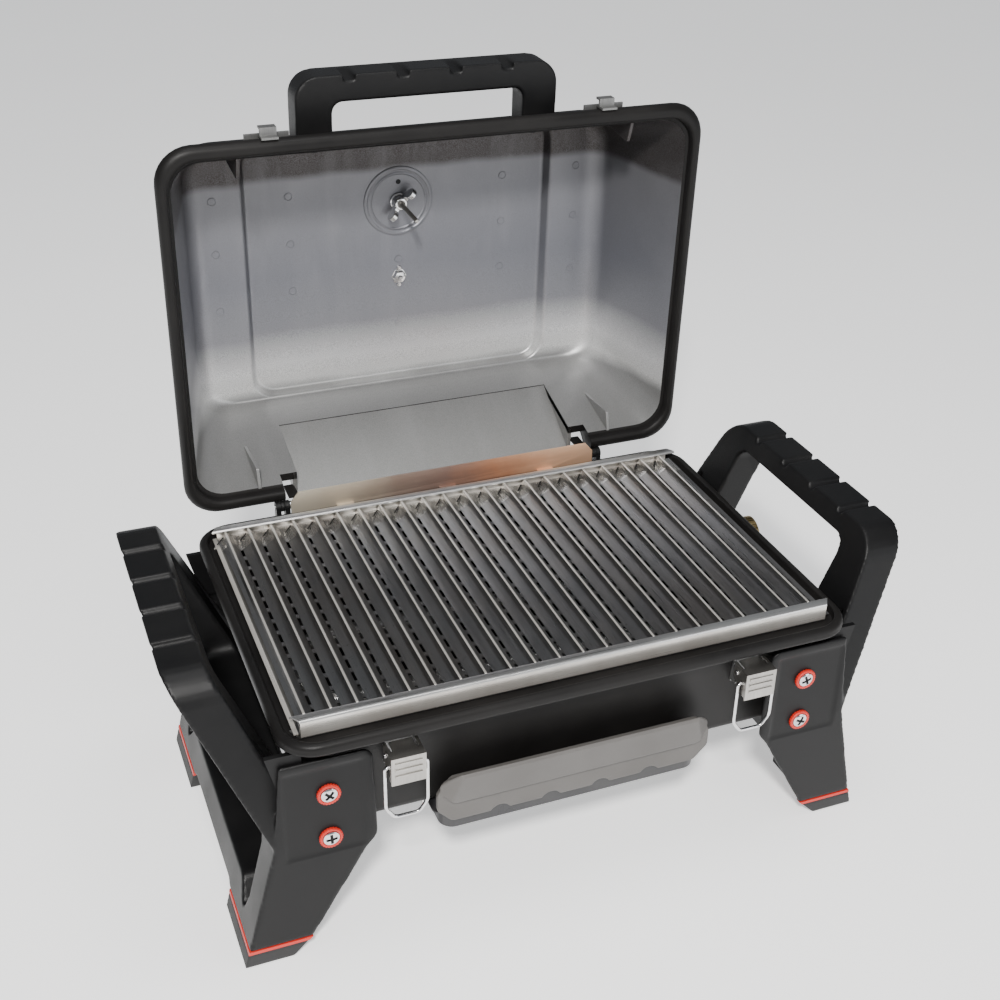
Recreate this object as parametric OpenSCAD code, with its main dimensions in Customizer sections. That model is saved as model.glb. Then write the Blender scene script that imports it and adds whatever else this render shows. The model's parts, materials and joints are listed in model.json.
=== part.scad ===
// Folding camp grill: a two-legged-end table grill with a hinged lid, a folded
// sheet grate, a slide-out grease tray and two over-centre lid latches.
// X is the width, -Y the front, +Z up. The drawing frame has y = 0 at the middle
// of the firebox rim and z = 0 within the foot pads; every node is moved by
// depth_shift and foot_drop so that the whole grill with its lid open is centred
// over the origin, and stands on the ground.

/* [Firebox] */
// Half width of the firebox rim
rim_hx = 240; // [225:1:250]
// Half depth of the firebox rim
rim_hy = 166; // [160:1:172]
// Height of the top of the firebox rim
rim_z = 207; // [200:1:212]
// Height of the underside of the firebox
box_floor_z = 100; // [96:1:110]
// Wall thickness of the castings
wall = 4; // [3:0.5:6]

/* [Lid] */
// Depth of the lid from its rim to the inside of its flat top
lid_depth = 136; // [120:1:140]
// Angle that the lid opens from closed
lid_open = 88; // [60:1:92]
// Clearance between the closed lid and the firebox rim
lid_gap = 1; // [0.5:0.5:3]

/* [Grate] */
// Half width of the grate
grate_hx = 228; // [210:1:228]
// Half depth of the grate
grate_hy = 146; // [140:1:148]
// Number of folded ridges
ridges = 22; // [16:1:26]
// Height of the top of the ridges
grate_top_z = 215; // [212:1:220]

/* [End frames] */
// Half width over the carry handles
grip_x = 313; // [300:1:320]
// Height of the carry handles
grip_z = 254; // [240:0.5:260]
// Half depth over the corner panels
panel_y = 154; // [152:1:158]
// Width of the moulded arm
arm_w = 33.6; // [28:0.2:38]

/* [Latches] */
// Distance of each latch from the middle
latch_x = 148.8; // [140:0.2:155]
// Length of the bail from its pivot to its cross bar
bail_len = 49.5; // [47:0.5:52]

/* [Tray] */
// Half width of the tray pan
tray_hx = 120; // [110:1:140]
// Half width of the tray handle at its widest
tray_grip_hx = 119.5; // [108:0.5:128]

/* [Gas] */
// Radius of the cylinder thread in the gas inlet
inlet_r = 12.7; // [12:0.1:14]
// Radius of the burner tube
burner_r = 9.5; // [8:0.5:12]

/* [Hidden] */
$fn = 48;
hull_fn = 32;
arc_step = 12;
depth_shift = 71.6;
foot_drop = 10.5;

hinge_y = 172.5;
hinge_z = 210.1;
hinge_x = 156.5;
lid_rim_z = rim_z + lid_gap;
lid_top_z = lid_rim_z + lid_depth + wall;
vent_hx = 153;
hood_top = [136, 293];
hood_end = [174, 229];

gauge_y = -56;
badge_y = 19.5;

knob_y = -45;
knob_z = 146;
igniter_y = -76;
inlet_y = 38;
inlet_z = 172;
inlet_len = 16;
inlet_face_x = 262;

waist = [249.5, 106];
foot = [274.6, 5.5];
foot_inner_x = 223;
foot_z = 2.5;
trim_z = 5.5;
screw_x = 205.6;
screw_zs = [150.4, 107.6];

lever_pivot = [-158, 178];
bail_pivot = [-166, 173];
lever_face_y = -173;
lever_w = 27.3;
wire_r = 1.5;
bail_hw = 16.8;

// ---------------------------------------------------------------- helpers

module both_sides() {
    children();
    mirror([1, 0, 0]) children();
}

module front_and_back() {
    children();
    mirror([0, 1, 0]) children();
}

// A flat slab with rounded corners, its lowest face at height z.
module slab(hx, hy, r, z, t = 0.5) {
    translate([0, 0, z])
        linear_extrude(t)
            hull()
                for (sx = [-1, 1], sy = [-1, 1])
                    translate([sx * (hx - r), sy * (hy - r)])
                        circle(r, $fn = hull_fn);
}

// A rounded rectangle as true arcs, for the exact cut-outs.
module round_rect(hx, hy, r) {
    square([2 * hx, 2 * (hy - r)], center = true);
    square([2 * (hx - r), 2 * hy], center = true);
    for (sx = [-1, 1], sy = [-1, 1])
        translate([sx * (hx - r), sy * (hy - r)])
            circle(r);
}

function unit(v) = v / norm(v);

function turned(v, angle) = [v[0] * cos(angle) - v[1] * sin(angle), v[0] * sin(angle) + v[1] * cos(angle)];

// The arc of radius r that rounds corner b between a and c.
function arc_at(a, b, c, r) = r == 0 ? [b] :
    let (u = unit(a - b), v = unit(c - b), half = acos(u * v) / 2,
         centre = b + unit(u + v) * r / sin(half),
         from = b + u * r / tan(half) - centre,
         to = b + v * r / tan(half) - centre,
         turn = sign(cross(from, to)) * (180 - 2 * half),
         steps = max(2, ceil(abs(turn) / arc_step)))
    [for (i = [0 : steps]) centre + turned(from, turn * i / steps)];

// A closed outline of [x, y, r] points with each corner rounded to its r.
function rounded(points) = let (n = len(points))
    [for (i = [0 : n - 1])
        let (a = points[(i + n - 1) % n], b = points[i], c = points[(i + 1) % n])
            each arc_at([a[0], a[1]], [b[0], b[1]], [c[0], c[1]], b[2])];

// A polygon of [y, z] points, extruded along X from x0 to x1.
module along_x(points, x0, x1) {
    translate([x0, 0, 0])
        rotate([90, 0, 90])
            linear_extrude(x1 - x0)
                polygon(points);
}

// A polygon of [x, z] points, extruded along Y from y0 to y1.
module along_y(points, y0, y1) {
    translate([0, y1, 0])
        rotate([90, 0, 0])
            linear_extrude(y1 - y0)
                polygon(points);
}

module box(x0, x1, y0, y1, z0, z1) {
    translate([x0, y0, z0])
        cube([x1 - x0, y1 - y0, z1 - z0]);
}

module rod_x(x0, x1, y, z, r) {
    translate([x0, y, z])
        rotate([0, 90, 0])
            cylinder(h = x1 - x0, r = r);
}

module rod_y(x, y0, y1, z, r) {
    translate([x, y0, z])
        rotate([-90, 0, 0])
            cylinder(h = y1 - y0, r = r);
}

module rod_z(x, y, z0, z1, r) {
    translate([x, y, z0])
        cylinder(h = z1 - z0, r = r);
}

// The lid's pieces are drawn closed and stand open at rest.
module opened() {
    translate([0, hinge_y, hinge_z])
        rotate([-lid_open, 0, 0])
            translate([0, -hinge_y, -hinge_z])
                children();
}

module placed() {
    translate([0, -depth_shift, foot_drop])
        children();
}

// ---------------------------------------------------------------- firebox

box_top_z = 196;
ledge_z = 200.5;
box_foot_hx = 214;
box_foot_hy = 135;
box_top_hx = 230;
box_top_hy = 148;

module firebox() {
    color("#1d1d20")
        difference() {
            union() {
                hull() {
                    slab(box_top_hx, box_top_hy, 24, box_top_z);
                    slab(box_foot_hx, box_foot_hy, 20, box_floor_z);
                }
                hull() {
                    slab(rim_hx - 2, rim_hy - 2, 28, box_top_z);
                    slab(rim_hx, rim_hy, 30, box_top_z + 2.5, 5);
                    slab(rim_hx - 2.5, rim_hy - 2.5, 28, rim_z - 0.5);
                }
                // Bosses that the end frames are screwed to.
                for (z = screw_zs)
                    both_sides()
                        front_and_back()
                            rod_y(screw_x, 125, panel_y - wall - 0.1, z, 7);
            }
            hull() {
                slab(box_top_hx - wall, box_top_hy - wall - 2, 20, box_top_z + 5);
                slab(box_foot_hx - wall, box_foot_hy - wall, 16, box_floor_z + wall);
            }
            translate([0, 0, ledge_z])
                linear_extrude(20)
                    round_rect(rim_hx - 8, rim_hy - 7, 22);
            rod_z(0, 0, box_floor_z - 1, box_floor_z + wall + 1, 14);
            rod_x(box_foot_hx - 10, box_top_hx + 10, knob_y, knob_z, burner_r + 3);
            rod_x(box_foot_hx - 10, box_top_hx + 10, igniter_y, knob_z, 4);
            for (x = [-90 : 45 : 90])
                front_and_back()
                    box(x - 12, x + 12, 90, 96, box_floor_z - 1, box_floor_z + wall + 1);
        }
}

guard_y0 = 161.6;
guard_y1 = 163;
guard_top_z = 228;
guard_t = 1.2;
guard_xs = [-100, 0, 100];
guard_screw_y = 153.5;
riser_y = 157.5;
bridge_z = rim_z + 0.2;

module rear_heat_guard() {
    color("#b98f63") {
        along_y([[-150.5, rim_z + 0.1], [150.5, rim_z + 0.1], [150.5, 219], [143, guard_top_z],
                 [-143, guard_top_z], [-150.5, 219]], guard_y0, guard_y1);
        // Feet: a flat tab on the ledge, a riser and a bridge over the rim.
        for (x = guard_xs)
            difference() {
                union() {
                    box(x - 8, x + 8, 149.4, riser_y + guard_t, ledge_z, ledge_z + guard_t);
                    box(x - 8, x + 8, riser_y, riser_y + guard_t, ledge_z, bridge_z + guard_t);
                    box(x - 8, x + 8, riser_y, guard_y1, bridge_z, bridge_z + guard_t);
                }
                rod_z(x, guard_screw_y, ledge_z - 1, ledge_z + 3, 2.2);
            }
    }
}

module guard_screws() {
    color("#9a9aa0")
        for (x = guard_xs) {
            rod_z(x, guard_screw_y, ledge_z + guard_t, ledge_z + 3.4, 3.4);
            rod_z(x, guard_screw_y, ledge_z - 3, ledge_z + guard_t, 2.1);
        }
}

// ---------------------------------------------------------------- end frames

panel_top_z = 184;
leg_y = 150;

// Front outline of the bent band that makes the arm above the waist and the leg below.
band_outline = [
    foot, waist, [grip_x, grip_z], [grip_x - arm_w, grip_z],
    [waist[0] - arm_w, waist[1]], [foot[0] - arm_w, foot[1]]
];

// Front outline of the corner panel and the leg under it.
panel_outline = rounded([
    [foot[0], foot[1], 0], [waist[0], waist[1], 0], [242, panel_top_z, 0], [170.5, panel_top_z, 9],
    [168, 100, 10], [178, 86, 14], [foot_inner_x, foot[1], 0]
]);

// Side outline of the frame: up the leg, past the waist, over the handle and down again.
module side_outline() {
    shoulder_y = 118;
    shoulder_r = 30;
    arch_z = trim_z + 5;
    difference() {
        polygon(rounded([
            [-leg_y, trim_z, 0], [leg_y, trim_z, 0], [panel_y, waist[1], 0], [shoulder_y, grip_z, shoulder_r],
            [-shoulder_y, grip_z, shoulder_r], [-panel_y, waist[1], 0]
        ]));
        polygon([[-74, trim_z - 1], [74, trim_z - 1], [66, arch_z], [-66, arch_z]]);
    }
}

upper_window = rounded([[-91, 122, 12], [91, 122, 12], [87, 237, 12], [-87, 237, 12]]);
lower_window = rounded([
    [-114, 18, 3], [-98, 39, 8], [98, 39, 8], [114, 18, 3], [121, 39, 0], [121, 98, 10],
    [-121, 98, 10], [-121, 39, 0]
]);

module end_frame() {
    groove_w = 7;
    groove_d = 4.5;
    recess_depth = 1.4;
    difference() {
        union() {
            intersection() {
                along_y(band_outline, -160, 160);
                translate([180, 0, 0])
                    rotate([90, 0, 90])
                        linear_extrude(160)
                            side_outline();
            }
            front_and_back()
                intersection() {
                    along_y(panel_outline, 140, 160);
                    along_x([[leg_y - wall, trim_z], [leg_y, trim_z], [panel_y, waist[1]], [panel_y, panel_top_z],
                             [panel_y - wall, panel_top_z], [panel_y - wall, waist[1]]], 160, 290);
                }
        }
        along_x(upper_window, 150, 330);
        along_x(lower_window, 150, 330);
        // Hollow inside of each leg and arm, open towards the firebox.
        front_and_back()
            intersection() {
                along_y([[foot[0] - 4, foot[1] + 4], [waist[0] - 4, waist[1]], [grip_x - 28, 196],
                         [180, 196], [180, foot[1] + 4]], 124, 160);
                along_x([[124, trim_z + 4], [146, trim_z + 4], [150, waist[1]], [126, 196],
                         [112, 196], [124, waist[1] + 10]], 180, 320);
            }
        for (y = [-68.4, -22.8, 22.8, 68.4])
            box(grip_x - arm_w - 2, grip_x + 2, y - groove_w / 2, y + groove_w / 2,
                grip_z - groove_d, grip_z + 1);
        // Shallow step around the screws.
        front_and_back()
            box(177.5, 241, panel_y - recess_depth, panel_y + 1, 92, 177);
        for (z = screw_zs)
            front_and_back()
                rod_y(screw_x, 140, 160, z, 2.6);
    }
}

module right_end_frame() {
    color("#17171a")
        end_frame();
}

module left_end_frame() {
    color("#17171a")
        mirror([1, 0, 0])
            end_frame();
}

// A level slice of the four feet: the toe plate and the bar behind it. Towards the ground their
// inner end draws in and their outer face carries on the slope of the leg.
module foot_slice(z0, z1) {
    inner_taper = 1;
    outer_taper = -0.25;
    front_and_back()
        intersection() {
            along_y([[foot_inner_x + (trim_z - z0) * inner_taper, z0],
                     [foot[0] - (trim_z - z0) * outer_taper, z0],
                     [foot[0] - (trim_z - z1) * outer_taper, z1],
                     [foot_inner_x + (trim_z - z1) * inner_taper, z1]], 60, 160);
            union() {
                box(200, 290, leg_y - 6, leg_y, z0, z1);
                box(foot[0] - arm_w, 290, 76, leg_y, z0, z1);
            }
        }
}

module foot_pads() {
    color("#101012")
        both_sides()
            foot_slice(-foot_drop, foot_z);
}

module foot_trim_strips() {
    color("#c8402c")
        both_sides()
            foot_slice(foot_z, trim_z);
}

module at_frame_screws() {
    both_sides()
        front_and_back()
            for (z = screw_zs)
                translate([screw_x, panel_y - 1.4, z])
                    rotate([-90, 0, 0])
                        children();
}

module screw_collars() {
    color("#d2382a")
        at_frame_screws()
            difference() {
                cylinder(h = 3, r = 9.3);
                translate([0, 0, -1])
                    cylinder(h = 5, r = 2.6);
                translate([0, 0, 1.6])
                    cylinder(h = 3, r = 7);
            }
}

module frame_screws() {
    color("#c9c9cc")
        at_frame_screws() {
            difference() {
                translate([0, 0, 1.6])
                    cylinder(h = 2.8, r = 6.5);
                for (a = [0, 90])
                    rotate(a)
                        translate([-3.2, -0.6, 3.2])
                            cube([6.4, 1.2, 3]);
            }
            translate([0, 0, -14])
                cylinder(h = 15.6, r = 2.5);
        }
}

// ---------------------------------------------------------------- hinges

module at_hinges() {
    both_sides()
        translate([hinge_x, 0, 0])
            children();
}

module hinge_lower_leaves() {
    color("#141416")
        at_hinges()
            difference() {
                union() {
                    for (x = [-6.5, 2])
                        rod_x(x, x + 4.5, hinge_y, hinge_z, 5);
                    for (x = [-6.5, 2])
                        along_x([[166.6, 184], [hinge_y + 2, 184], [hinge_y + 4, hinge_z],
                                 [hinge_y - 4, hinge_z], [167.6, 205]], x, x + 4.5);
                    box(-6.5, 6.5, 147.5, hinge_y + 2, 181, 186);
                    box(-6.5, 6.5, 146.9, 149.9, 160, 186);
                }
                rod_x(-10, 10, hinge_y, hinge_z, 2.5);
                rod_y(0, 145, 156, 171, 2.1);
            }
}

module hinge_lower_screws() {
    color("#8a8a90")
        at_hinges() {
            rod_y(0, 149.9, 152.4, 171, 4);
            rod_y(0, 140, 149.9, 171, 2);
        }
}

module hinge_pins() {
    color("#8a8a90")
        at_hinges() {
            rod_x(-7.5, 7.5, hinge_y, hinge_z, 2.45);
            rod_x(-8.5, -6.6, hinge_y, hinge_z, 4);
        }
}

module hinge_upper_leaves() {
    color("#141416")
        opened()
            at_hinges()
                difference() {
                    union() {
                        rod_x(-1.7, 1.7, hinge_y, hinge_z, 5);
                        along_x([[hinge_y - 5, hinge_z + 3], [hinge_y + 5, hinge_z],
                                 [hinge_y + 5, 224], [158, 246], [152, 246]], -1.7, 1.7);
                        along_x([[154.9, 227], [157.9, 227], [153.2, 248], [150.2, 248]], -1.7, 18);
                    }
                    rod_x(-10, 10, hinge_y, hinge_z, 2.5);
                }
}

module hinge_upper_screws() {
    color("#8a8a90")
        opened()
            at_hinges()
                rod_y(11, 150, 158.6, 237, 3.6);
}

// ---------------------------------------------------------------- lid

step_depth = 125;
lid_in_hx = 232;
lid_in_hy = 155;
step_hx = 202;
top_hy = 127;
panel_hx = 146;

module lid_outside() {
    hull() {
        slab(lid_in_hx + wall, lid_in_hy + wall, 28, lid_rim_z);
        slab(step_hx + wall, top_hy + wall, 26, lid_rim_z + step_depth + wall - 6);
        slab(step_hx + wall - 5, top_hy + wall - 5, 24, lid_rim_z + step_depth + wall - 0.5);
    }
    hull() {
        slab(panel_hx + wall + 8, top_hy + wall - 1, 24, lid_rim_z + step_depth - 4);
        slab(panel_hx + wall, top_hy + wall - 3, 22, lid_top_z - 0.5);
    }
    hull() {
        slab(rim_hx + 0.5, rim_hy + 0.5, 30, lid_rim_z);
        slab(rim_hx + 2.5, rim_hy + 2.5, 32, lid_rim_z + 4, 5);
        slab(rim_hx - 2, rim_hy - 2, 29, lid_rim_z + 14.5);
    }
}

module lid_inside() {
    hull() {
        slab(lid_in_hx, lid_in_hy, 18, lid_rim_z - 1);
        slab(step_hx, top_hy, 24, lid_rim_z + step_depth - 0.5);
    }
    hull() {
        slab(panel_hx + 6, top_hy - 0.5, 22, lid_rim_z + step_depth - 3);
        slab(panel_hx - 2, top_hy - 4, 20, lid_rim_z + lid_depth - 0.5);
    }
}

module lid_shell() {
    color("#2a2a2d")
        opened() {
            difference() {
                lid_outside();
                lid_inside();
                // Vent in the rear wall, under the hood.
                along_x([[120, lid_rim_z - 2], [190, lid_rim_z - 2], [190, hood_end[1]],
                         [hood_end[0], hood_end[1]], hood_top, [120, hood_top[1]]], -137, 137);
                box(-vent_hx, vent_hx, 140, 190, lid_rim_z - 2, hood_end[1]);
                for (s = [-1, 1])
                    rod_x(s * hinge_x - 8.6, s * hinge_x + 8.6, hinge_y, hinge_z, 6.2);
                for (s = [-1, 1])
                    box(s * hinge_x - 2.5, s * hinge_x + 2.5, 158.8, 175, lid_rim_z - 2, 227);
                rod_z(0, gauge_y, lid_top_z - 10, lid_top_z + 2, 5);
                rod_z(0, badge_y, lid_top_z - 10, lid_top_z + 2, 2.6);
                for (s = [-1, 1])
                    rod_y(s * 100, -170, -130, 266, 3.2);
            }
            // Vent hood: a sloping plate with two cheeks.
            along_x([hood_top, hood_end, [hood_end[0] + 3, hood_end[1]],
                     [hood_top[0] + 4, hood_top[1] + 1]], -141, 141);
            both_sides()
                along_x([[150.6, hood_end[1]], hood_end, hood_top], 137, 141);
            // Gusset ribs on the front and rear walls.
            both_sides()
                front_and_back()
                    along_x([[155.5, lid_rim_z + 1], [152, lid_rim_z + 1],
                             [139, lid_rim_z + 58], [143.5, lid_rim_z + 58]], 173, 176);
        }
}

handle_hx = 117;
handle_window_hx = 85.5;
handle_front_y = -203.5;
handle_back_y = -130;
handle_window_y = -181;
handle_z0 = 253;
handle_z1 = 281;
groove_xs = [-70.5, -23.5, 23.5, 70.5];
groove_hw = 5;
groove_depth = 6;

module lid_handle() {
    color("#17171a")
        opened()
            difference() {
                intersection() {
                    translate([0, 0, handle_z0])
                        linear_extrude(handle_z1 - handle_z0)
                            difference() {
                                polygon(rounded([
                                    [-handle_hx, handle_front_y, 20], [handle_hx, handle_front_y, 20],
                                    [handle_hx, handle_back_y, 0], [-handle_hx, handle_back_y, 0]
                                ]));
                                polygon(rounded([
                                    [-handle_window_hx, handle_window_y, 9],
                                    [handle_window_hx, handle_window_y, 9],
                                    [handle_window_hx, handle_back_y + 10, 0],
                                    [-handle_window_hx, handle_back_y + 10, 0]
                                ]));
                            }
                    // The posts end on the sloping front wall of the lid.
                    along_x([[handle_front_y - 5, handle_z0 - 1], [-150.3, handle_z0 - 1],
                             [-143.3, handle_z1 + 1], [handle_front_y - 5, handle_z1 + 1]], -130, 130);
                }
                // Finger grooves, deep at the underside and run out before the upper side.
                for (x = groove_xs)
                    along_x([[handle_front_y - 1, handle_z0 - 1],
                             [handle_front_y + groove_depth, handle_z0 - 1],
                             [handle_front_y - 1, handle_z1 - 3]], x - groove_hw, x + groove_hw);
                for (s = [-1, 1])
                    rod_y(s * 100, -170, -130, 266, 2.6);
            }
}

module lid_handle_screws() {
    color("#8a8a90")
        opened()
            for (s = [-1, 1]) {
                rod_y(s * 100, -169, -140, 266, 2.5);
                rod_y(s * 100, -140.6, -137.6, 266, 5.5);
            }
}

catch_w = 37;
hook_w = 14;

module at_latches() {
    for (s = [-1, 1])
        translate([s * latch_x, 0, 0])
            children();
}

module lid_catches() {
    color("#b9b9bd")
        opened()
            at_latches()
                difference() {
                    union() {
                        box(-catch_w / 2, catch_w / 2, -170.6, -157, 223.2, 225);
                        box(-hook_w / 2, hook_w / 2, -170.6, -168.7, 210, 225);
                        box(-hook_w / 2, hook_w / 2, -177, -168.7, 216.6, 219);
                        box(-hook_w / 2, hook_w / 2, -177, -175.2, 216.6, 224.5);
                    }
                    for (s = [-1, 1])
                        rod_z(s * 10, -163, 220, 230, 1.9);
                }
}

module catch_rivets() {
    color("#8a8a90")
        opened()
            at_latches()
                for (s = [-1, 1]) {
                    rod_z(s * 10, -163, 217, 225, 1.8);
                    rod_z(s * 10, -163, 225, 226.6, 3.4);
                }
}

// ---------------------------------------------------------------- gauge and badge

module at_gauge() {
    opened()
        translate([0, gauge_y, lid_top_z])
            children();
}

module gauge_housing() {
    color("#c4c4c8")
        at_gauge()
            difference() {
                union() {
                    cylinder(h = 9, r = 30);
                    cylinder(h = 12, r = 27.5);
                }
                translate([0, 0, 3])
                    cylinder(h = 12, r = 25.5);
                translate([0, 0, -1])
                    cylinder(h = 6, r = 3.4);
            }
}

module gauge_lens() {
    color("#dfe6ea", 0.4)
        at_gauge()
            translate([0, 0, 10])
                cylinder(h = 1.5, r = 25.4);
}

module gauge_dial() {
    color("#f2f2ee")
        at_gauge()
            difference() {
                translate([0, 0, 3])
                    cylinder(h = 1, r = 25.3);
                translate([0, 0, 2])
                    cylinder(h = 3, r = 2.2);
            }
}

module gauge_needle() {
    color("#b03022")
        at_gauge()
            translate([0, 0, 5.5])
                rotate(135) {
                    cylinder(h = 1.2, r = 3);
                    translate([-18, -0.8, 0])
                        cube([38, 1.6, 1]);
                }
}

module gauge_probe() {
    color("#b4b4b8")
        at_gauge() {
            translate([0, 0, -60])
                cylinder(h = 63, r = 2.2);
            translate([0, 0, -18])
                cylinder(h = 18, r = 3.3);
        }
}

module gauge_wing_nut() {
    color("#c9c9cc")
        at_gauge()
            difference() {
                union() {
                    translate([0, 0, -wall - 9.2])
                        cylinder(h = 9, r = 6);
                    rotate(50)
                        translate([0, 0, -wall - 14])
                            rotate([90, 0, 0])
                                translate([0, 0, -1.4])
                                    linear_extrude(2.8) {
                                        polygon([[4, 6], [19, 0], [17, 8], [4, 13]]);
                                        polygon([[-4, 6], [-19, 0], [-17, 8], [-4, 13]]);
                                    }
                }
                translate([0, 0, -30])
                    cylinder(h = 40, r = 3.35);
            }
}

module badge_plate() {
    color("#a9a9ad")
        opened()
            translate([0, badge_y, lid_top_z])
                linear_extrude(2)
                    round_rect(45, 13, 6);
}

module badge_nut() {
    color("#b4b4b8")
        opened()
            translate([0, badge_y, lid_top_z]) {
                translate([0, 0, -9])
                    cylinder(h = 9, r = 2.5);
                difference() {
                    translate([0, 0, -wall - 4])
                        cylinder(h = 3.9, r = 5.5, $fn = 6);
                    translate([0, 0, -wall - 5])
                        cylinder(h = 8, r = 2.5);
                }
            }
}

// ---------------------------------------------------------------- grate

rail_t = 1.2;
sheet_t = 1.2;
valley_z = 203.2;
grate_sheet_hx = grate_hx - 1.5;
grate_sheet_hy = grate_hy - 2;
pitch = 20.38;
rail_corner = 5;

// Points of one fold: a long slope up, the crest, and a steep flank down to the valley.
function fold(i, lift) = let (x = -grate_sheet_hx + i * pitch) [
    [x, valley_z + 3 + lift],
    [x + pitch * 0.33, valley_z + 5 + lift],
    [x + pitch * 0.41, grate_top_z - sheet_t + lift],
    [x + pitch * 0.50, grate_top_z - sheet_t + lift],
    [x + pitch * 0.60, valley_z + lift]
];

function sheet_end(lift) = [[grate_sheet_hx, valley_z + 3 + lift]];

module cooking_grate() {
    lower = [for (i = [0 : ridges - 1]) each fold(i, 0)];
    upper = [for (i = [ridges - 1 : -1 : 0]) let (f = fold(i, sheet_t)) each [f[4], f[3], f[2], f[1], f[0]]];
    color("#b9b6b2")
        difference() {
            along_y(concat(lower, sheet_end(0), sheet_end(sheet_t), upper), -grate_sheet_hy, grate_sheet_hy);
            for (i = [0 : 2 : ridges - 2])
                translate([-grate_sheet_hx + (i + 0.72) * pitch, 0, 0])
                    box(-1, 1, -grate_sheet_hy + 16, grate_sheet_hy - 16, valley_z - 2, grate_top_z + 1);
        }
}

module grate_rail() {
    top = grate_top_z + 2;
    low = ledge_z + 0.1;
    color("#d5d2cd")
        intersection() {
            along_x([[-grate_hy, low], [-grate_hy, top], [-grate_hy + 9, top], [-grate_hy + 9, top - rail_t],
                     [-grate_hy + rail_t, top - rail_t], [-grate_hy + rail_t, low + rail_t],
                     [-grate_hy + 12, low + rail_t], [-grate_hy + 12, low]], -grate_hx, grate_hx);
            // Corners cut off, so that the rail clears the corners of the closed lid.
            translate([0, 0, low - 1])
                linear_extrude(top - low + 2)
                    polygon([[-grate_hx + rail_corner, -grate_hy - 1], [grate_hx - rail_corner, -grate_hy - 1],
                             [grate_hx - rail_corner, -grate_hy], [grate_hx, -grate_hy + rail_corner],
                             [grate_hx, -grate_hy + 20], [-grate_hx, -grate_hy + 20],
                             [-grate_hx, -grate_hy + rail_corner], [-grate_hx + rail_corner, -grate_hy]]);
        }
}

module grate_front_rail() {
    grate_rail();
}

module grate_rear_rail() {
    mirror([0, 1, 0])
        grate_rail();
}

// ---------------------------------------------------------------- burner and controls

burner_hy = 45;
burner_end_x = 150;

module burner_path(r) {
    rod_x(-burner_end_x, 214, -burner_hy, knob_z, r);
    rod_x(-burner_end_x, burner_end_x, burner_hy, knob_z, r);
    translate([-burner_end_x, 0, knob_z])
        difference() {
            rotate_extrude()
                translate([burner_hy, 0])
                    circle(r);
            translate([0, -100, -50])
                cube([200, 200, 100]);
        }
}

module burner_tube() {
    color("#a7a39c")
        difference() {
            union() {
                burner_path(burner_r);
                rod_x(213, 226, -burner_hy, knob_z, burner_r);
                rod_x(burner_end_x - 1, burner_end_x + 3, burner_hy, knob_z, burner_r);
            }
            burner_path(burner_r - 1.2);
            rod_x(213, 227, -burner_hy, knob_z, burner_r - 1.2);
            for (x = [-130 : 20 : 130])
                for (s = [-1, 1])
                    rod_z(x, s * burner_hy, knob_z + 4, knob_z + 14, 1.2);
        }
}

module burner_brackets() {
    color("#8f8c86")
        for (x = [-110, 110])
            difference() {
                union() {
                    box(x - 1, x + 1, -62, 62, box_floor_z + wall, knob_z);
                    box(x - 1, x + 14, -62, 62, box_floor_z + wall, box_floor_z + wall + 1.5);
                }
                for (s = [-1, 1])
                    rod_x(x - 3, x + 3, s * burner_hy, knob_z, burner_r + 0.05);
                box(x - 3, x + 3, -30, 30, box_floor_z + wall + 8, knob_z + 1);
            }
}

module igniter_electrode() {
    color("#e9e4da") {
        rod_z(40, -22, 118, 150, 3.5);
        rod_z(40, -22, 112, 118, 1.2);
    }
    color("#8a8a90") {
        rod_z(40, -22, 150, 160, 1);
        rod_y(40, -33, -21, 159, 1);
    }
}

module electrode_bracket() {
    color("#8f8c86")
        difference() {
            union() {
                box(32, 48, -30, -14, 124, 126);
                box(32, 48, -15.5, -14, box_floor_z + wall, 126);
                box(32, 48, -30, -14, box_floor_z + wall, box_floor_z + wall + 1.5);
            }
            rod_z(40, -22, 120, 130, 3.55);
        }
}

bracket_x = 236;

module valve_bracket() {
    color("#3a3a3d")
        difference() {
            union() {
                box(bracket_x, bracket_x + 2, -86, 66, 128, 193);
                for (y = [-86, 58])
                    box(219.8, bracket_x + 2, y, y + 8, 128, 130);
            }
            rod_x(bracket_x - 3, bracket_x + 5, knob_y, knob_z, 6);
            rod_x(bracket_x - 3, bracket_x + 5, igniter_y, knob_z, 7);
            rod_x(bracket_x - 3, bracket_x + 5, inlet_y, inlet_z, 18);
            for (s = [-1, 1])
                rod_x(bracket_x - 3, bracket_x + 5, knob_y, knob_z + s * 15, 2.1);
        }
}

module gas_valve() {
    color("#b59a4a")
        difference() {
            union() {
                // Orifice spud that ends in the mouth of the burner tube.
                rod_x(221, 229, knob_y, knob_z, 4);
                rod_x(228, bracket_x, knob_y, knob_z, 12);
                box(228, bracket_x, knob_y - 4, knob_y + 4, knob_z - 20, knob_z + 20);
                rod_x(bracket_x - 1, bracket_x + 12, knob_y, knob_z, 4);
                // Passage to the regulator.
                box(228.5, bracket_x - 0.5, knob_y, inlet_y, knob_z + 14, knob_z + 20);
                rod_x(230.4, inlet_face_x, inlet_y, inlet_z, 17);
            }
            rod_x(inlet_face_x - inlet_len, inlet_face_x + 1, inlet_y, inlet_z, inlet_r);
            rod_x(234, inlet_face_x + 1 - inlet_len, inlet_y, inlet_z, 3);
            rod_x(220, 234, knob_y, knob_z, 1);
        }
}

module valve_screws() {
    color("#8a8a90")
        for (s = [-1, 1]) {
            rod_x(bracket_x - 6, bracket_x + 2, knob_y, knob_z + s * 15, 2);
            rod_x(bracket_x + 2, bracket_x + 4, knob_y, knob_z + s * 15, 3.6);
        }
}

knob_x0 = bracket_x + 5;

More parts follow.
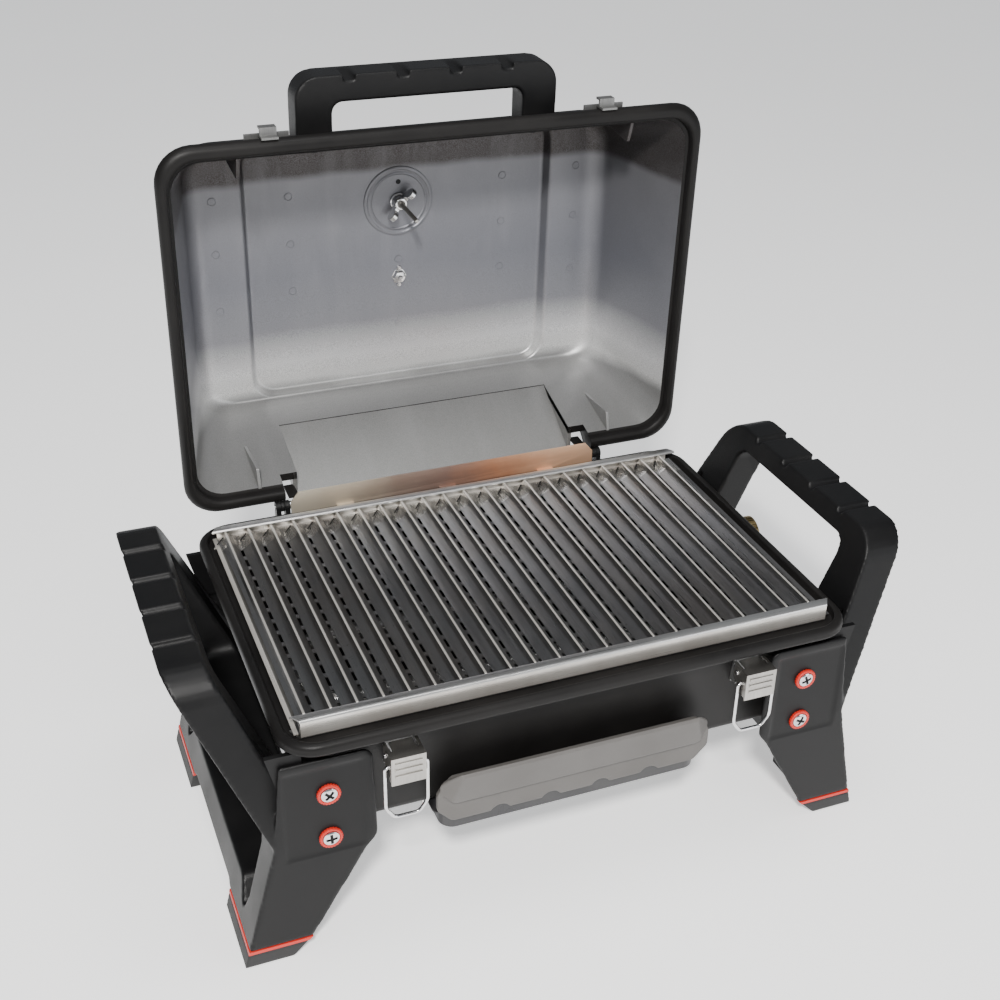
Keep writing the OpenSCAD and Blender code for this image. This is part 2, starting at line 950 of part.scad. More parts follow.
module control_knob() {
    color("#1b1b1e")
        difference() {
            union() {
                rod_x(knob_x0, knob_x0 + 9, knob_y, knob_z, 17);
                rod_x(knob_x0 + 9, knob_x0 + 22, knob_y, knob_z, 13);
                for (a = [0 : 30 : 330])
                    translate([knob_x0 + 9, knob_y, knob_z])
                        rotate([a, 0, 0])
                            translate([0, 12, -1.2])
                                cube([12, 3, 2.4]);
                box(knob_x0 + 9, knob_x0 + 24, knob_y - 2, knob_y + 2, knob_z + 2, knob_z + 15);
            }
            rod_x(knob_x0 - 1, bracket_x + 12.5, knob_y, knob_z, 4.05);
        }
}

module igniter_housing() {
    color("#1b1b1e")
        difference() {
            union() {
                rod_x(bracket_x - 8, bracket_x + 2, igniter_y, knob_z, 6.9);
                rod_x(bracket_x + 2, bracket_x + 16, igniter_y, knob_z, 9);
            }
            rod_x(bracket_x + 3, bracket_x + 17, igniter_y, knob_z, 6.6);
        }
}

module igniter_button() {
    color("#b03022")
        rod_x(bracket_x + 9, bracket_x + 21, igniter_y, knob_z, 6.5);
}

// ---------------------------------------------------------------- latches

module latch_bases() {
    color("#b9b9bd")
        at_latches()
            difference() {
                union() {
                    along_x([[-148.1, 196], [-150, 196], [-145.2, 160], [-143.3, 160]], -11, 11);
                    for (x = [-11, 9.5])
                        along_x([[-144.6, 162], [-146.6, 176], [-153, 180], [-156, 181.8], [-160, 181.5],
                                 [-161.8, 178], [-160, 174], [-152, 162]], x, x + 1.5);
                }
                rod_x(-15, 15, lever_pivot[0], lever_pivot[1], 2);
            }
}

module latch_rivets() {
    color("#8a8a90")
        at_latches()
            for (at = [[-147.2, 165], [-150.5, 191]])
                rod_y(0, at[0], -142, at[1], 2.6);
}

module latch_pins() {
    color("#8a8a90")
        at_latches()
            rod_x(-14.6, 14.6, lever_pivot[0], lever_pivot[1], 1.95);
}

// A channel of folded sheet, open at its back and bottom. Two slots let its top pass the base's ears.
module latch_lever() {
    t = 1.5;
    hw = lever_w / 2;
    low = 160;
    top = 185;
    difference() {
        union() {
            box(-hw, hw, lever_face_y, lever_face_y + t, low, top);
            box(-hw, hw, lever_face_y, -152, top - t, top);
            for (x = [-hw, hw - t])
                along_x([[lever_face_y, low + 2], [lever_face_y, top], [-153.5, top],
                         [-153, 174], [-160, 167], [-168, low + 2]], x, x + t);
            for (z = [167.3, 173.1, 178.9])
                box(-hw + 3, hw - 3, lever_face_y - 1, lever_face_y, z, z + 2);
        }
        for (x = [-11.3, 9.2])
            box(x, x + 2.1, -163.6, -151, top - 3, top + 1);
        rod_x(-20, 20, lever_pivot[0], lever_pivot[1], 2);
        rod_x(-20, 20, bail_pivot[0], bail_pivot[1], 1.6);
    }
}

module left_latch_lever() {
    color("#b9b9bd")
        translate([-latch_x, 0, 0])
            latch_lever();
}

module right_latch_lever() {
    color("#b9b9bd")
        translate([latch_x, 0, 0])
            latch_lever();
}

// The outline of the bail's loop, grown by half the wire on each side.
module bail_loop(grow) {
    corner = 4.5;
    hw = bail_hw + grow;
    top = bail_pivot[1] + grow;
    low = bail_pivot[1] - bail_len - grow;
    polygon([[-hw, top], [-hw, low + corner], [-hw + corner, low], [hw - corner, low], [hw, low + corner],
             [hw, top]]);
}

module latch_bail() {
    half = wire_r - 0.1;
    translate([0, bail_pivot[0] + half, 0])
        rotate([90, 0, 0])
            linear_extrude(2 * half)
                difference() {
                    bail_loop(half);
                    bail_loop(-half);
                    translate([-bail_hw + half, bail_pivot[1] - half - 0.5])
                        square([2 * (bail_hw - half), 10]);
                }
    both_sides()
        rod_x(9.8, bail_hw + half, bail_pivot[0], bail_pivot[1], wire_r);
}

module left_latch_bail() {
    color("#d9d9dc")
        translate([-latch_x, 0, 0])
            latch_bail();
}

module right_latch_bail() {
    color("#d9d9dc")
        translate([latch_x, 0, 0])
            latch_bail();
}

// ---------------------------------------------------------------- tray

tray_z0 = 79;
tray_z1 = 97;
tray_y0 = -146.4;
tray_y1 = 128;
tray_screw_z = 94;
tray_screw_xs = [-44, 44];
tray_screw_y = -150;

module tray_runners() {
    color("#8f8c86")
        both_sides()
            difference() {
                union() {
                    box(tray_hx + 2.7, tray_hx + 4.2, -128, 120, tray_z1 - 3.2, box_floor_z);
                    box(tray_hx - 5, tray_hx + 4.2, -128, 120, tray_z1 - 3.2, tray_z1 - 1.8);
                    box(tray_hx + 2.7, tray_hx + 18, -128, 120, box_floor_z - 1.5, box_floor_z);
                }
                for (y = [-100, 100])
                    rod_z(tray_hx + 11, y, box_floor_z - 3, box_floor_z + 1, 2.1);
            }
}

module runner_screws() {
    color("#8a8a90")
        both_sides()
            for (y = [-100, 100]) {
                rod_z(tray_hx + 11, y, box_floor_z - 1.5, box_floor_z + 3, 2);
                rod_z(tray_hx + 11, y, box_floor_z - 3.6, box_floor_z - 1.5, 3.8);
            }
}

module grease_tray() {
    mid_y = (tray_y0 + tray_y1) / 2;
    hy = (tray_y1 - tray_y0) / 2;
    in_hx = tray_hx - 8;
    color("#3a3a3d")
        translate([0, mid_y, 0])
            difference() {
                union() {
                    translate([0, 0, tray_z0])
                        linear_extrude(tray_z1 - tray_z0)
                            round_rect(in_hx + 1.5, hy, 12);
                    translate([0, 0, tray_z1 - 1.5])
                        linear_extrude(1.5)
                            round_rect(tray_hx, hy, 8);
                }
                translate([0, 0, tray_z0 + 1.5])
                    linear_extrude(40)
                        round_rect(in_hx, hy - 1.5, 10.5);
                for (x = tray_screw_xs)
                    rod_y(x, -hy - 5, -hy + 6, tray_screw_z, 2.1);
            }
}

// A back plate with finger notches along its lower edge, and a grip that leans out from its upper part.
module tray_handle() {
    low = 90;
    crease_z = 111;
    plate_top = 134;
    grip_top = 144;
    back_y = -146.6;
    plate_y = -151.5;
    crease_y = -156.5;
    grip_y = -162.5;
    face_hx = 100;
    notch_r = 9;
    plate = rounded([
        [-107, low, 6], [107, low, 6], [tray_grip_hx, low + 13, 8], [tray_grip_hx, plate_top - 14, 8],
        [107, plate_top, 6], [-107, plate_top, 6], [-tray_grip_hx, plate_top - 14, 8],
        [-tray_grip_hx, low + 13, 8]
    ]);
    grip = rounded([
        [-104, crease_z - 1, 4], [104, crease_z - 1, 4], [118, crease_z + 10, 8], [118, grip_top - 16, 8],
        [104, grip_top, 6], [-104, grip_top, 6], [-118, grip_top - 16, 8], [-118, crease_z + 10, 8]
    ]);
    color("#8b8582")
        difference() {
            union() {
                along_y(plate, plate_y, back_y);
                intersection() {
                    along_x([[plate_y + 1, crease_z], [crease_y + 1.5, crease_z], [crease_y, crease_z + 1.5],
                             [grip_y, grip_top - 3], [grip_y + 1.5, grip_top], [plate_y + 1, plate_top - 1]],
                            -tray_grip_hx, tray_grip_hx);
                    translate([0, 0, low])
                        linear_extrude(grip_top - low + 1)
                            polygon([[-118, plate_y + 1], [-face_hx, grip_y - 1], [face_hx, grip_y - 1],
                                     [118, plate_y + 1]]);
                    along_y(grip, grip_y - 1, back_y);
                }
            }
            for (x = [-66, -22, 22, 66])
                rod_y(x, plate_y - 1, back_y + 1, low - 4.5, notch_r);
            for (x = tray_screw_xs)
                rod_y(x, tray_screw_y, back_y + 1, tray_screw_z, 2.1);
        }
}

module tray_handle_screws() {
    color("#8a8a90")
        for (x = tray_screw_xs) {
            rod_y(x, tray_screw_y + 0.1, -142.6, tray_screw_z, 2);
            rod_y(x, -144.8, -142.6, tray_screw_z, 3.8);
        }
}

// ---------------------------------------------------------------- nodes

placed() firebox();
placed() left_end_frame();
placed() right_end_frame();
placed() foot_pads();
placed() foot_trim_strips();
placed() frame_screws();
placed() screw_collars();
placed() rear_heat_guard();
placed() guard_screws();
placed() hinge_lower_leaves();
placed() hinge_lower_screws();
placed() hinge_pins();
placed() burner_tube();
placed() burner_brackets();
placed() igniter_electrode();
placed() electrode_bracket();
placed() valve_bracket();
placed() gas_valve();
placed() valve_screws();
placed() igniter_housing();
placed() latch_bases();
placed() latch_rivets();
placed() latch_pins();
placed() tray_runners();
placed() runner_screws();
placed() lid_shell();
placed() lid_handle();
placed() lid_handle_screws();
placed() lid_catches();
placed() catch_rivets();
placed() hinge_upper_leaves();
placed() hinge_upper_screws();
placed() gauge_housing();
placed() gauge_lens();
placed() gauge_dial();
placed() gauge_probe();
placed() gauge_wing_nut();
placed() badge_plate();
placed() badge_nut();
placed() gauge_needle();
placed() cooking_grate();
placed() grate_front_rail();
placed() grate_rear_rail();
placed() grease_tray();
placed() tray_handle();
placed() tray_handle_screws();
placed() left_latch_lever();
placed() right_latch_lever();
placed() left_latch_bail();
placed() right_latch_bail();
placed() control_knob();
placed() igniter_button();
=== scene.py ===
"""Looks of the folding camp grill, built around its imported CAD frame. Lengths are in millimetres in the
drawing frame (y = 0 at the middle of the firebox rim) and become metres in the row frame through TO_ROW."""

import json
import math

import bmesh
import bpy
from mathutils import Matrix, Vector

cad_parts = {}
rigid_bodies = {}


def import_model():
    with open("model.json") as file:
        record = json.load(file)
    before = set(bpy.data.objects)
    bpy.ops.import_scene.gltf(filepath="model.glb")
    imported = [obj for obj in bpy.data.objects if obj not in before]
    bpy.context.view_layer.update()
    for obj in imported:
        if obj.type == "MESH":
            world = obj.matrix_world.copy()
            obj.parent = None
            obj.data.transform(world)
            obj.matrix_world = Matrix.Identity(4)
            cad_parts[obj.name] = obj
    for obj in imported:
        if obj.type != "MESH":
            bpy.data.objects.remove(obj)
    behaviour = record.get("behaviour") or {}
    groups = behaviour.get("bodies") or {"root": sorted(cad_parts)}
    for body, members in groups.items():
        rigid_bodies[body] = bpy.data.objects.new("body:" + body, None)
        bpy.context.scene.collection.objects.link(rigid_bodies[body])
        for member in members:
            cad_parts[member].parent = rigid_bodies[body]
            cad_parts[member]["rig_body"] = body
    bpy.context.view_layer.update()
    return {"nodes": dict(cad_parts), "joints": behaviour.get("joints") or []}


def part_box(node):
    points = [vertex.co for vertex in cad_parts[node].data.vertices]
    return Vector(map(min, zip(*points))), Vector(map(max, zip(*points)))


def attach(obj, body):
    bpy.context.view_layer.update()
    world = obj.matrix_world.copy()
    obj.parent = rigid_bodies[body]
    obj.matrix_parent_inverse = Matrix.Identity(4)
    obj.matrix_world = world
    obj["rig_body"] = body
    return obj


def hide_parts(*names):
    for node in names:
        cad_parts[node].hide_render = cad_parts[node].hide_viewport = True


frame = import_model()
nodes = frame["nodes"]
joints = {j["name"]: j for j in frame["joints"]}

MM = 0.001
rim_lo, rim_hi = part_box("firebox")
RIM_HX = (rim_hi.x - rim_lo.x) / 2 / MM
RIM_HY = (rim_hi.y - rim_lo.y) / 2 / MM
RIM_Z = 207
FLOOR_Z = 100
Y_SHIFT = (rim_lo.y + rim_hi.y) / 2
Z_SHIFT = rim_hi.z - RIM_Z * MM
HINGE = Vector(joints["lid_hinge"]["pos_m"])
OPEN_ANGLE = math.radians(joints["lid_hinge"]["range_deg"][0])
TO_ROW = Matrix.Translation((0, Y_SHIFT, Z_SHIFT)) @ Matrix.Scale(MM, 4)
TO_DRAWN = TO_ROW.inverted()
OPENED = (
    Matrix.Translation(HINGE) @ Matrix.Rotation(OPEN_ANGLE, 4, "X") @ Matrix.Translation(-HINGE) @ TO_ROW
)
TO_CLOSED = OPENED.inverted()
GAUGE_Y = (TO_CLOSED @ Vector(joints["needle_turn"]["pos_m"])).y
BADGE_Y = (TO_CLOSED @ (sum(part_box("badge_plate"), Vector()) / 2)).y


# ------------------------------------------------------------------ mesh helpers


def new_piece(name, mesh, body, materials, replaces=(), place=TO_ROW):
    """Puts a finished mesh, drawn in millimetres, on a body as a visible piece."""
    if place is not None:
        mesh.transform(place)
    obj = bpy.data.objects.new(name, mesh)
    bpy.context.scene.collection.objects.link(obj)
    kept = [f.material_index for f in mesh.polygons]
    mesh.materials.clear()
    for mat in materials:
        mesh.materials.append(mat)
    mesh.polygons.foreach_set("material_index", kept)
    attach(obj, body)
    if replaces:
        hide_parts(*replaces)
    return obj


def mesh_of(bm, name, smooth_angle=32.0):
    bmesh.ops.recalc_face_normals(bm, faces=bm.faces)
    mesh = bpy.data.meshes.new(name)
    for f in bm.faces:
        f.smooth = True
    bm.to_mesh(mesh)
    bm.free()
    mesh.set_sharp_from_angle(angle=math.radians(smooth_angle))
    return mesh


def rounded_ring(hx, hy, r):
    """Points [x, y] round a rounded rectangle, always the same number of them."""
    corner = 8
    side = 6
    points = []
    corners = ((hx - r, hy - r, 0), (r - hx, hy - r, 90), (r - hx, r - hy, 180), (hx - r, r - hy, 270))
    for cx, cy, start in corners:
        for k in range(corner + 1):
            a = math.radians(start + 90 * k / corner)
            points.append((cx + r * math.cos(a), cy + r * math.sin(a)))
    out = []
    n = len(points)
    for k in range(n):
        out.append(points[k])
        if k % (corner + 1) == corner:
            a, b = points[k], points[(k + 1) % n]
            for m in range(1, side):
                t = m / side
                out.append((a[0] + (b[0] - a[0]) * t, a[1] + (b[1] - a[1]) * t))
    return out


def quarter(steps):
    """Sine and cosine at even steps round a quarter turn, both ends included."""
    turns = [math.pi / 2 * k / steps for k in range(steps + 1)]
    return [(math.sin(a), math.cos(a)) for a in turns]


def loft(bm, rings, materials=None):
    """Joins rings (hx, hy, r, z) into a skin. materials gives the slot of each band between two rings."""
    made = [[bm.verts.new((x, y, z)) for x, y in rounded_ring(hx, hy, r)] for hx, hy, r, z in rings]
    n = len(made[0])
    for k in range(len(made) - 1):
        for i in range(n):
            j = (i + 1) % n
            f = bm.faces.new((made[k][i], made[k][j], made[k + 1][j], made[k + 1][i]))
            f.material_index = materials[k] if materials else 0
    bm.faces.new(list(reversed(made[0]))).material_index = materials[0] if materials else 0
    bm.faces.new(made[-1]).material_index = materials[-1] if materials else 0


def lathe(bm, profile, segments=48, matrix=Matrix.Identity(4)):
    """Turns a profile of (radius, z) about Z; a radius of 0 closes the end."""
    rows = []
    for r, z in profile:
        if r < 1e-6:
            rows.append([bm.verts.new(matrix @ Vector((0, 0, z)))])
        else:
            rows.append([
                bm.verts.new(matrix @ Vector((r * math.cos(2 * math.pi * k / segments),
                                              r * math.sin(2 * math.pi * k / segments), z)))
                for k in range(segments)
            ])
    for a, b in zip(rows, rows[1:]):
        for k in range(segments):
            m = (k + 1) % segments
            corners = [a[k % len(a)], a[m % len(a)], b[m % len(b)], b[k % len(b)]]
            unique = list(dict.fromkeys(corners))
            if len(unique) > 2:
                bm.faces.new(unique)


def join_ends(bm, a, b):
    """Closes the two ends a and b of a bar, and its sides between them."""
    bm.faces.new(a)
    bm.faces.new(list(reversed(b)))
    for i in range(len(a)):
        j = (i + 1) % len(a)
        bm.faces.new((a[j], a[i], b[i], b[j]))


def prism(bm, outline, lo, hi, axis="x"):
    """Extrudes an outline: [y, z] points along x, [x, z] along y or [x, y] along z."""
    def at(p, d):
        return {"x": (d, p[0], p[1]), "y": (p[0], d, p[1]), "z": (p[0], p[1], d)}[axis]
    a = [bm.verts.new(at(p, lo)) for p in outline]
    b = [bm.verts.new(at(p, hi)) for p in outline]
    join_ends(bm, a, b)


def cuboid(bm, x0, x1, y0, y1, z0, z1):
    prism(bm, [(x0, y0), (x1, y0), (x1, y1), (x0, y1)], z0, z1, "z")


def cut_away(obj, cutter_mesh):
    """Cuts a closed mesh out of a piece for good."""
    cutter = bpy.data.objects.new("cutter", cutter_mesh)
    bpy.context.scene.collection.objects.link(cutter)
    mod = obj.modifiers.new("cut", "BOOLEAN")
    mod.operation = "DIFFERENCE"
    mod.solver = "EXACT"
    mod.object = cutter
    dg = bpy.context.evaluated_depsgraph_get()
    result = bpy.data.meshes.new_from_object(obj.evaluated_get(dg), depsgraph=dg)
    obj.modifiers.clear()
    obj.data = result
    bpy.data.objects.remove(cutter)


def apply_modifiers(obj, smooth_angle=35.0):
    """Replaces an object's mesh by what its modifiers make of it."""
    dg = bpy.context.evaluated_depsgraph_get()
    mesh = bpy.data.meshes.new_from_object(obj.evaluated_get(dg), depsgraph=dg)
    obj.modifiers.clear()
    obj.data = mesh
    mesh.set_sharp_from_angle(angle=math.radians(smooth_angle))


def moulded(node, material, voxel, rounds):
    """A copy of a CAD node with every edge rounded as a moulding's are: remeshed, relaxed and thinned out."""
    source = nodes[node]
    mesh = source.data.copy()
    piece = new_piece(node + "_fine", mesh, source["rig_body"], [material], (node,), None)
    remesh = piece.modifiers.new("remesh", "REMESH")
    remesh.mode = "VOXEL"
    remesh.voxel_size = voxel * MM
    relax = piece.modifiers.new("relax", "SMOOTH")
    relax.factor = 0.5
    relax.iterations = rounds
    thin = piece.modifiers.new("thin", "DECIMATE")
    thin.decimate_type = "DISSOLVE"
    thin.angle_limit = math.radians(1.2)
    apply_modifiers(piece, 60)
    piece.data.polygons.foreach_set("use_smooth", [True] * len(piece.data.polygons))
    weighted = piece.modifiers.new("normals", "WEIGHTED_NORMAL")
    weighted.keep_sharp = True


def round_edges(obj, width, segments=3, angle=32):
    """Rounds every edge that turns by more than the angle."""
    bevel = obj.modifiers.new("edges", "BEVEL")
    bevel.width = width * MM
    bevel.segments = segments
    bevel.limit_method = "ANGLE"
    bevel.angle_limit = math.radians(angle)
    bevel.harden_normals = True
    return bevel


def soften(node, material, width):
    """A copy of a CAD node whose edges are rounded, which stands for the node."""
    source = nodes[node]
    bm = bmesh.new()
    bm.from_mesh(source.data)
    bmesh.ops.remove_doubles(bm, verts=bm.verts, dist=2e-6)
    bmesh.ops.dissolve_limit(
        bm, angle_limit=math.radians(0.8), verts=bm.verts, edges=bm.edges, delimit={"NORMAL"}
    )
    mesh = mesh_of(bm, node + "_fine", 40)
    piece = new_piece(node + "_fine", mesh, source["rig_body"], [material], (node,), None)
    round_edges(piece, width).miter_outer = "MITER_ARC"


def tube(name, points, radius, body, material, replaces, bend):
    """A round wire along points, its corners bent to a radius, as a mesh."""
    path = []
    n = len(points)
    for i, p in enumerate(points):
        p = Vector(p)
        if i in (0, n - 1):
            path.append(p)
            continue
        a, c = Vector(points[i - 1]), Vector(points[i + 1])
        r = min(bend, (a - p).length / 2.2, (c - p).length / 2.2)
        p0, p1 = p + (a - p).normalized() * r, p + (c - p).normalized() * r
        for k in range(6):
            t = k / 5
            path.append(p0 * (1 - t) ** 2 + p * 2 * t * (1 - t) + p1 * t * t)
    curve = bpy.data.curves.new(name, "CURVE")
    curve.dimensions = "3D"
    spline = curve.splines.new("POLY")
    spline.points.add(len(path) - 1)
    for q, point in zip(path, spline.points):
        point.co = (*q, 1)
    curve.bevel_depth = radius
    curve.bevel_resolution = 4
    curve.use_fill_caps = True
    holder = bpy.data.objects.new(name + "_curve", curve)
    bpy.context.scene.collection.objects.link(holder)
    dg = bpy.context.evaluated_depsgraph_get()
    mesh = bpy.data.meshes.new_from_object(holder.evaluated_get(dg))
    bpy.data.objects.remove(holder)
    for f in mesh.polygons:
        f.use_smooth = True
    new_piece(name, mesh, body, [material], replaces)


# ------------------------------------------------------------------ materials


class Nodes:
    """A short way to write a material's node tree."""

    def __init__(self, name):
        self.mat = bpy.data.materials.new(name)
        self.mat.use_nodes = True
        self.tree = self.mat.node_tree
        self.bsdf = self.tree.nodes["Principled BSDF"]
        self.coord = self.tree.nodes.new("ShaderNodeTexCoord").outputs["Object"]

    def link(self, a, b):
        self.tree.links.new(a, b)

    def add(self, kind, **values):
        node = self.tree.nodes.new(kind)
        for key, value in values.items():
            if key in node.inputs:
                node.inputs[key].default_value = value
            else:
                setattr(node, key, value)
        return node

    def scaled(self, scale):
        m = self.add("ShaderNodeMapping")
        m.inputs["Scale"].default_value = scale
        self.link(self.coord, m.inputs["Vector"])
        return m.outputs["Vector"]

    def noise(self, scale, detail=4.0, stretch=(1, 1, 1), rough=0.55):
        n = self.add("ShaderNodeTexNoise")
        n.inputs["Scale"].default_value = scale
        n.inputs["Detail"].default_value = detail
        n.inputs["Roughness"].default_value = rough
        self.link(self.scaled(stretch), n.inputs["Vector"])
        return n.outputs["Fac"]

    def ramp(self, fac, stops):
        r = self.add("ShaderNodeValToRGB")
        while len(r.color_ramp.elements) < len(stops):
            r.color_ramp.elements.new(0.5)
        for e, (pos, col) in zip(r.color_ramp.elements, stops):
            e.position = pos
            e.color = (*col, 1)
        self.link(fac, r.inputs["Fac"])
        return r.outputs["Color"]

    def grey_ramp(self, fac, lo, hi, at=(0.3, 0.7)):
        return self.ramp(fac, [(at[0], (lo,) * 3), (at[1], (hi,) * 3)])

    def mix(self, fac, a, b):
        m = self.add("ShaderNodeMix")
        m.data_type = "RGBA"
        for socket, value in ((m.inputs[0], fac), (m.inputs[6], a), (m.inputs[7], b)):
            if hasattr(value, "is_linked"):
                self.link(value, socket)
            else:
                socket.default_value = (*value, 1)
        return m.outputs[2]

    def bump(self, height, strength, distance):
        b = self.add("ShaderNodeBump")
        b.inputs["Strength"].default_value = strength
        b.inputs["Distance"].default_value = distance
        self.link(height, b.inputs["Height"])
        return b.outputs["Normal"]

    def done(self, color, roughness, metallic=0.0, normal=None, **rest):
        for key, value in (("Base Color", color), ("Roughness", roughness), ("Metallic", metallic)):
            socket = self.bsdf.inputs[key]
            if hasattr(value, "is_linked"):
                self.link(value, socket)
            elif key == "Base Color":
                socket.default_value = (*value, 1)
            else:
                socket.default_value = value
        if normal is not None:
            self.link(normal, self.bsdf.inputs["Normal"])
        for key, value in rest.items():
            self.bsdf.inputs[key.replace("_", " ")].default_value = value
        return self.mat


def painted_black():
    """Matte high-temperature paint on a casting: fine grain with slow patches."""
    n = Nodes("painted_black")
    grain = n.noise(2600, 3)
    patch = n.noise(14, 3)
    color = n.mix(n.grey_ramp(patch, 0, 1), (0.006, 0.0056, 0.0055), (0.011, 0.0102, 0.0098))
    rough = n.grey_ramp(patch, 0.40, 0.54)
    return n.done(color, rough, normal=n.bump(grain, 0.22, 0.0003), Specular_IOR_Level=0.16)


def bare_casting_painted_light():
    """The unpainted inside of the lid: satin aluminium with speckle and flow streaks, and painted light by
    height: a painted reflection band low down and a painted shadow at the top.
    """
    n = Nodes("bare_casting_painted_light")
    speckle = n.noise(1500, 4, rough=0.7)
    streak = n.noise(34, 5, (1, 0.18, 0.25), 0.6)
    band_edge_wobble = n.noise(9, 4, (1, 1, 0.6))
    # Painted light by height while the lid stands open: the bright band low down is a painted reflection, and
    # the dark brown band at the top is the painted shadow of the lid's rim.
    split = n.add("ShaderNodeSeparateXYZ")
    n.link(n.coord, split.inputs[0])
    height = n.add("ShaderNodeMath", operation="MULTIPLY_ADD")
    n.link(band_edge_wobble, height.inputs[0])
    height.inputs[1].default_value = 0.012
    n.link(split.outputs["Z"], height.inputs[2])
    span = n.add("ShaderNodeMapRange")
    lid_height = 0.34
    span.inputs["From Min"].default_value = HINGE.z
    span.inputs["From Max"].default_value = HINGE.z + lid_height
    n.link(height.outputs[0], span.inputs["Value"])
    # Ramp of painted light: painted reflection from 0.20 to 0.255, darker bluish grey above it, painted rim
    # shadow from 0.81 up.
    base = n.ramp(span.outputs["Result"], [
        (0.00, (0.27, 0.27, 0.26)), (0.17, (0.29, 0.29, 0.285)), (0.20, (0.80, 0.80, 0.79)),
        (0.255, (0.84, 0.84, 0.85)), (0.36, (0.27, 0.275, 0.30)), (0.52, (0.185, 0.19, 0.215)),
        (0.79, (0.165, 0.165, 0.175)), (0.81, (0.030, 0.024, 0.021)),
    ])
    base = n.mix(n.grey_ramp(speckle, 0, 0.5, (0.42, 0.62)), base, (0.13, 0.13, 0.14))
    base = n.mix(n.grey_ramp(streak, 0, 0.10, (0.5, 0.75)), base, (0.45, 0.45, 0.46))
    rough = n.grey_ramp(streak, 0.34, 0.46)
    return n.done(base, rough, 0.6, n.bump(speckle, 0.4, 0.0003))


def moulded_black(name="moulded_black", dark=0.004, light=0.0075):
    """Satin black glass-filled nylon with a fine spark-eroded texture."""
    n = Nodes(name)
    grain = n.noise(1900, 2, rough=0.6)
    slow = n.noise(18, 3)
    color = n.mix(n.grey_ramp(slow, 0, 1), (dark, dark, dark * 1.08), (light, light * 0.98, light))
    rough = n.grey_ramp(slow, 0.34, 0.46)
    return n.done(color, rough, normal=n.bump(grain, 0.35, 0.0004), Specular_IOR_Level=0.2)


def brushed(name, color_a, color_b, along, rough=(0.24, 0.42), bump=0.12, extra=None, metallic=1.0):
    """Rolled stainless sheet, its grain drawn out along one axis."""
    n = Nodes(name)
    stretch = {"x": (0.012, 1, 1), "y": (1, 0.012, 1), "z": (1, 1, 0.012)}[along]
    grain = n.noise(1400, 3, stretch, 0.65)
    cloud = n.noise(22, 4)
    base = n.mix(n.grey_ramp(cloud, 0, 1), color_a, color_b)
    base = n.mix(n.grey_ramp(grain, 0, 0.35, (0.35, 0.7)), base, tuple(c * 0.72 for c in color_a))
    if extra:
        base = extra(n, base)
    return n.done(base, n.grey_ramp(grain, *rough), metallic, n.bump(grain, bump, 0.0002))


def grate_steel():
    """Used stainless sheet: brushed, browned by heat in the middle and dulled in patches."""
    def heat(n, base):
        patch = n.noise(11, 4)
        tinted = n.mix(n.grey_ramp(patch, 0, 0.4, (0.42, 0.68)), base, (0.21, 0.18, 0.155))
        fleck = n.noise(420, 2)
        return n.mix(n.grey_ramp(fleck, 0, 0.5, (0.66, 0.74)), tinted, (0.12, 0.11, 0.10))
    return brushed("grate_steel", (0.25, 0.25, 0.25), (0.34, 0.335, 0.33), "y", (0.26, 0.44), 0.14, heat)


def heat_tinted():
    """Steel coloured by heat across its width: straw, brown, then copper."""
    def tint(n, _base):
        split = n.add("ShaderNodeSeparateXYZ")
        n.link(n.coord, split.inputs[0])
        span = n.add("ShaderNodeMapRange")
        lo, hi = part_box("rear_heat_guard")
        span.inputs["From Min"].default_value = lo.x
        span.inputs["From Max"].default_value = hi.x
        n.link(split.outputs["X"], span.inputs["Value"])
        wobble = n.noise(26, 3)
        shift = n.add("ShaderNodeMath", operation="MULTIPLY_ADD")
        n.link(wobble, shift.inputs[0])
        shift.inputs[1].default_value = 0.24
        n.link(span.outputs["Result"], shift.inputs[2])
        return n.ramp(shift.outputs[0], [
            (0.10, (0.66, 0.60, 0.49)), (0.32, (0.58, 0.50, 0.40)), (0.46, (0.36, 0.27, 0.22)),
            (0.62, (0.30, 0.20, 0.165)), (0.80, (0.58, 0.29, 0.17)), (0.98, (0.78, 0.50, 0.33)),
        ])
    return brushed("heat_tinted", (0.6, 0.5, 0.4), (0.5, 0.4, 0.3), "x", (0.30, 0.44), 0.1, tint, 0.7)


def plated():
    """Bright zinc or chrome plate with faint haze."""
    n = Nodes("plated")
    tone = 0.72
    haze = n.noise(240, 3)
    color = n.mix(n.grey_ramp(haze, 0, 1), (tone, tone, tone * 1.02), (tone * 0.88, tone * 0.87, tone * 0.86))
    return n.done(color, n.grey_ramp(haze, 0.10, 0.24), 1.0, n.bump(haze, 0.05, 0.0002))


def satin_plastic(name, a, b, rough=(0.40, 0.52)):
    n = Nodes(name)
    grain = n.noise(2100, 2)
    slow = n.noise(30, 3)
    color = n.mix(n.grey_ramp(slow, 0, 1), a, b)
    return n.done(color, n.grey_ramp(slow, *rough), normal=n.bump(grain, 0.25, 0.0003))


def grey_handle():
    """Warm mid-grey moulded handle with a visible fine speckle."""
    n = Nodes("grey_handle")
    grain = n.noise(1500, 3, rough=0.7)
    slow = n.noise(16, 3)
    color = n.mix(n.grey_ramp(slow, 0, 1), (0.084, 0.078, 0.073), (0.110, 0.103, 0.097))
    color = n.mix(n.grey_ramp(grain, 0, 0.5, (0.45, 0.7)), color, (0.07, 0.068, 0.066))
    return n.done(color, 0.55, 0.0, n.bump(grain, 0.4, 0.0004))


def lens_glass():
    n = Nodes("lens_glass")
    smear = n.noise(60, 3)
    return n.done((0.95, 0.98, 1.0), n.grey_ramp(smear, 0.02, 0.08), Transmission_Weight=0.95, IOR=1.5)


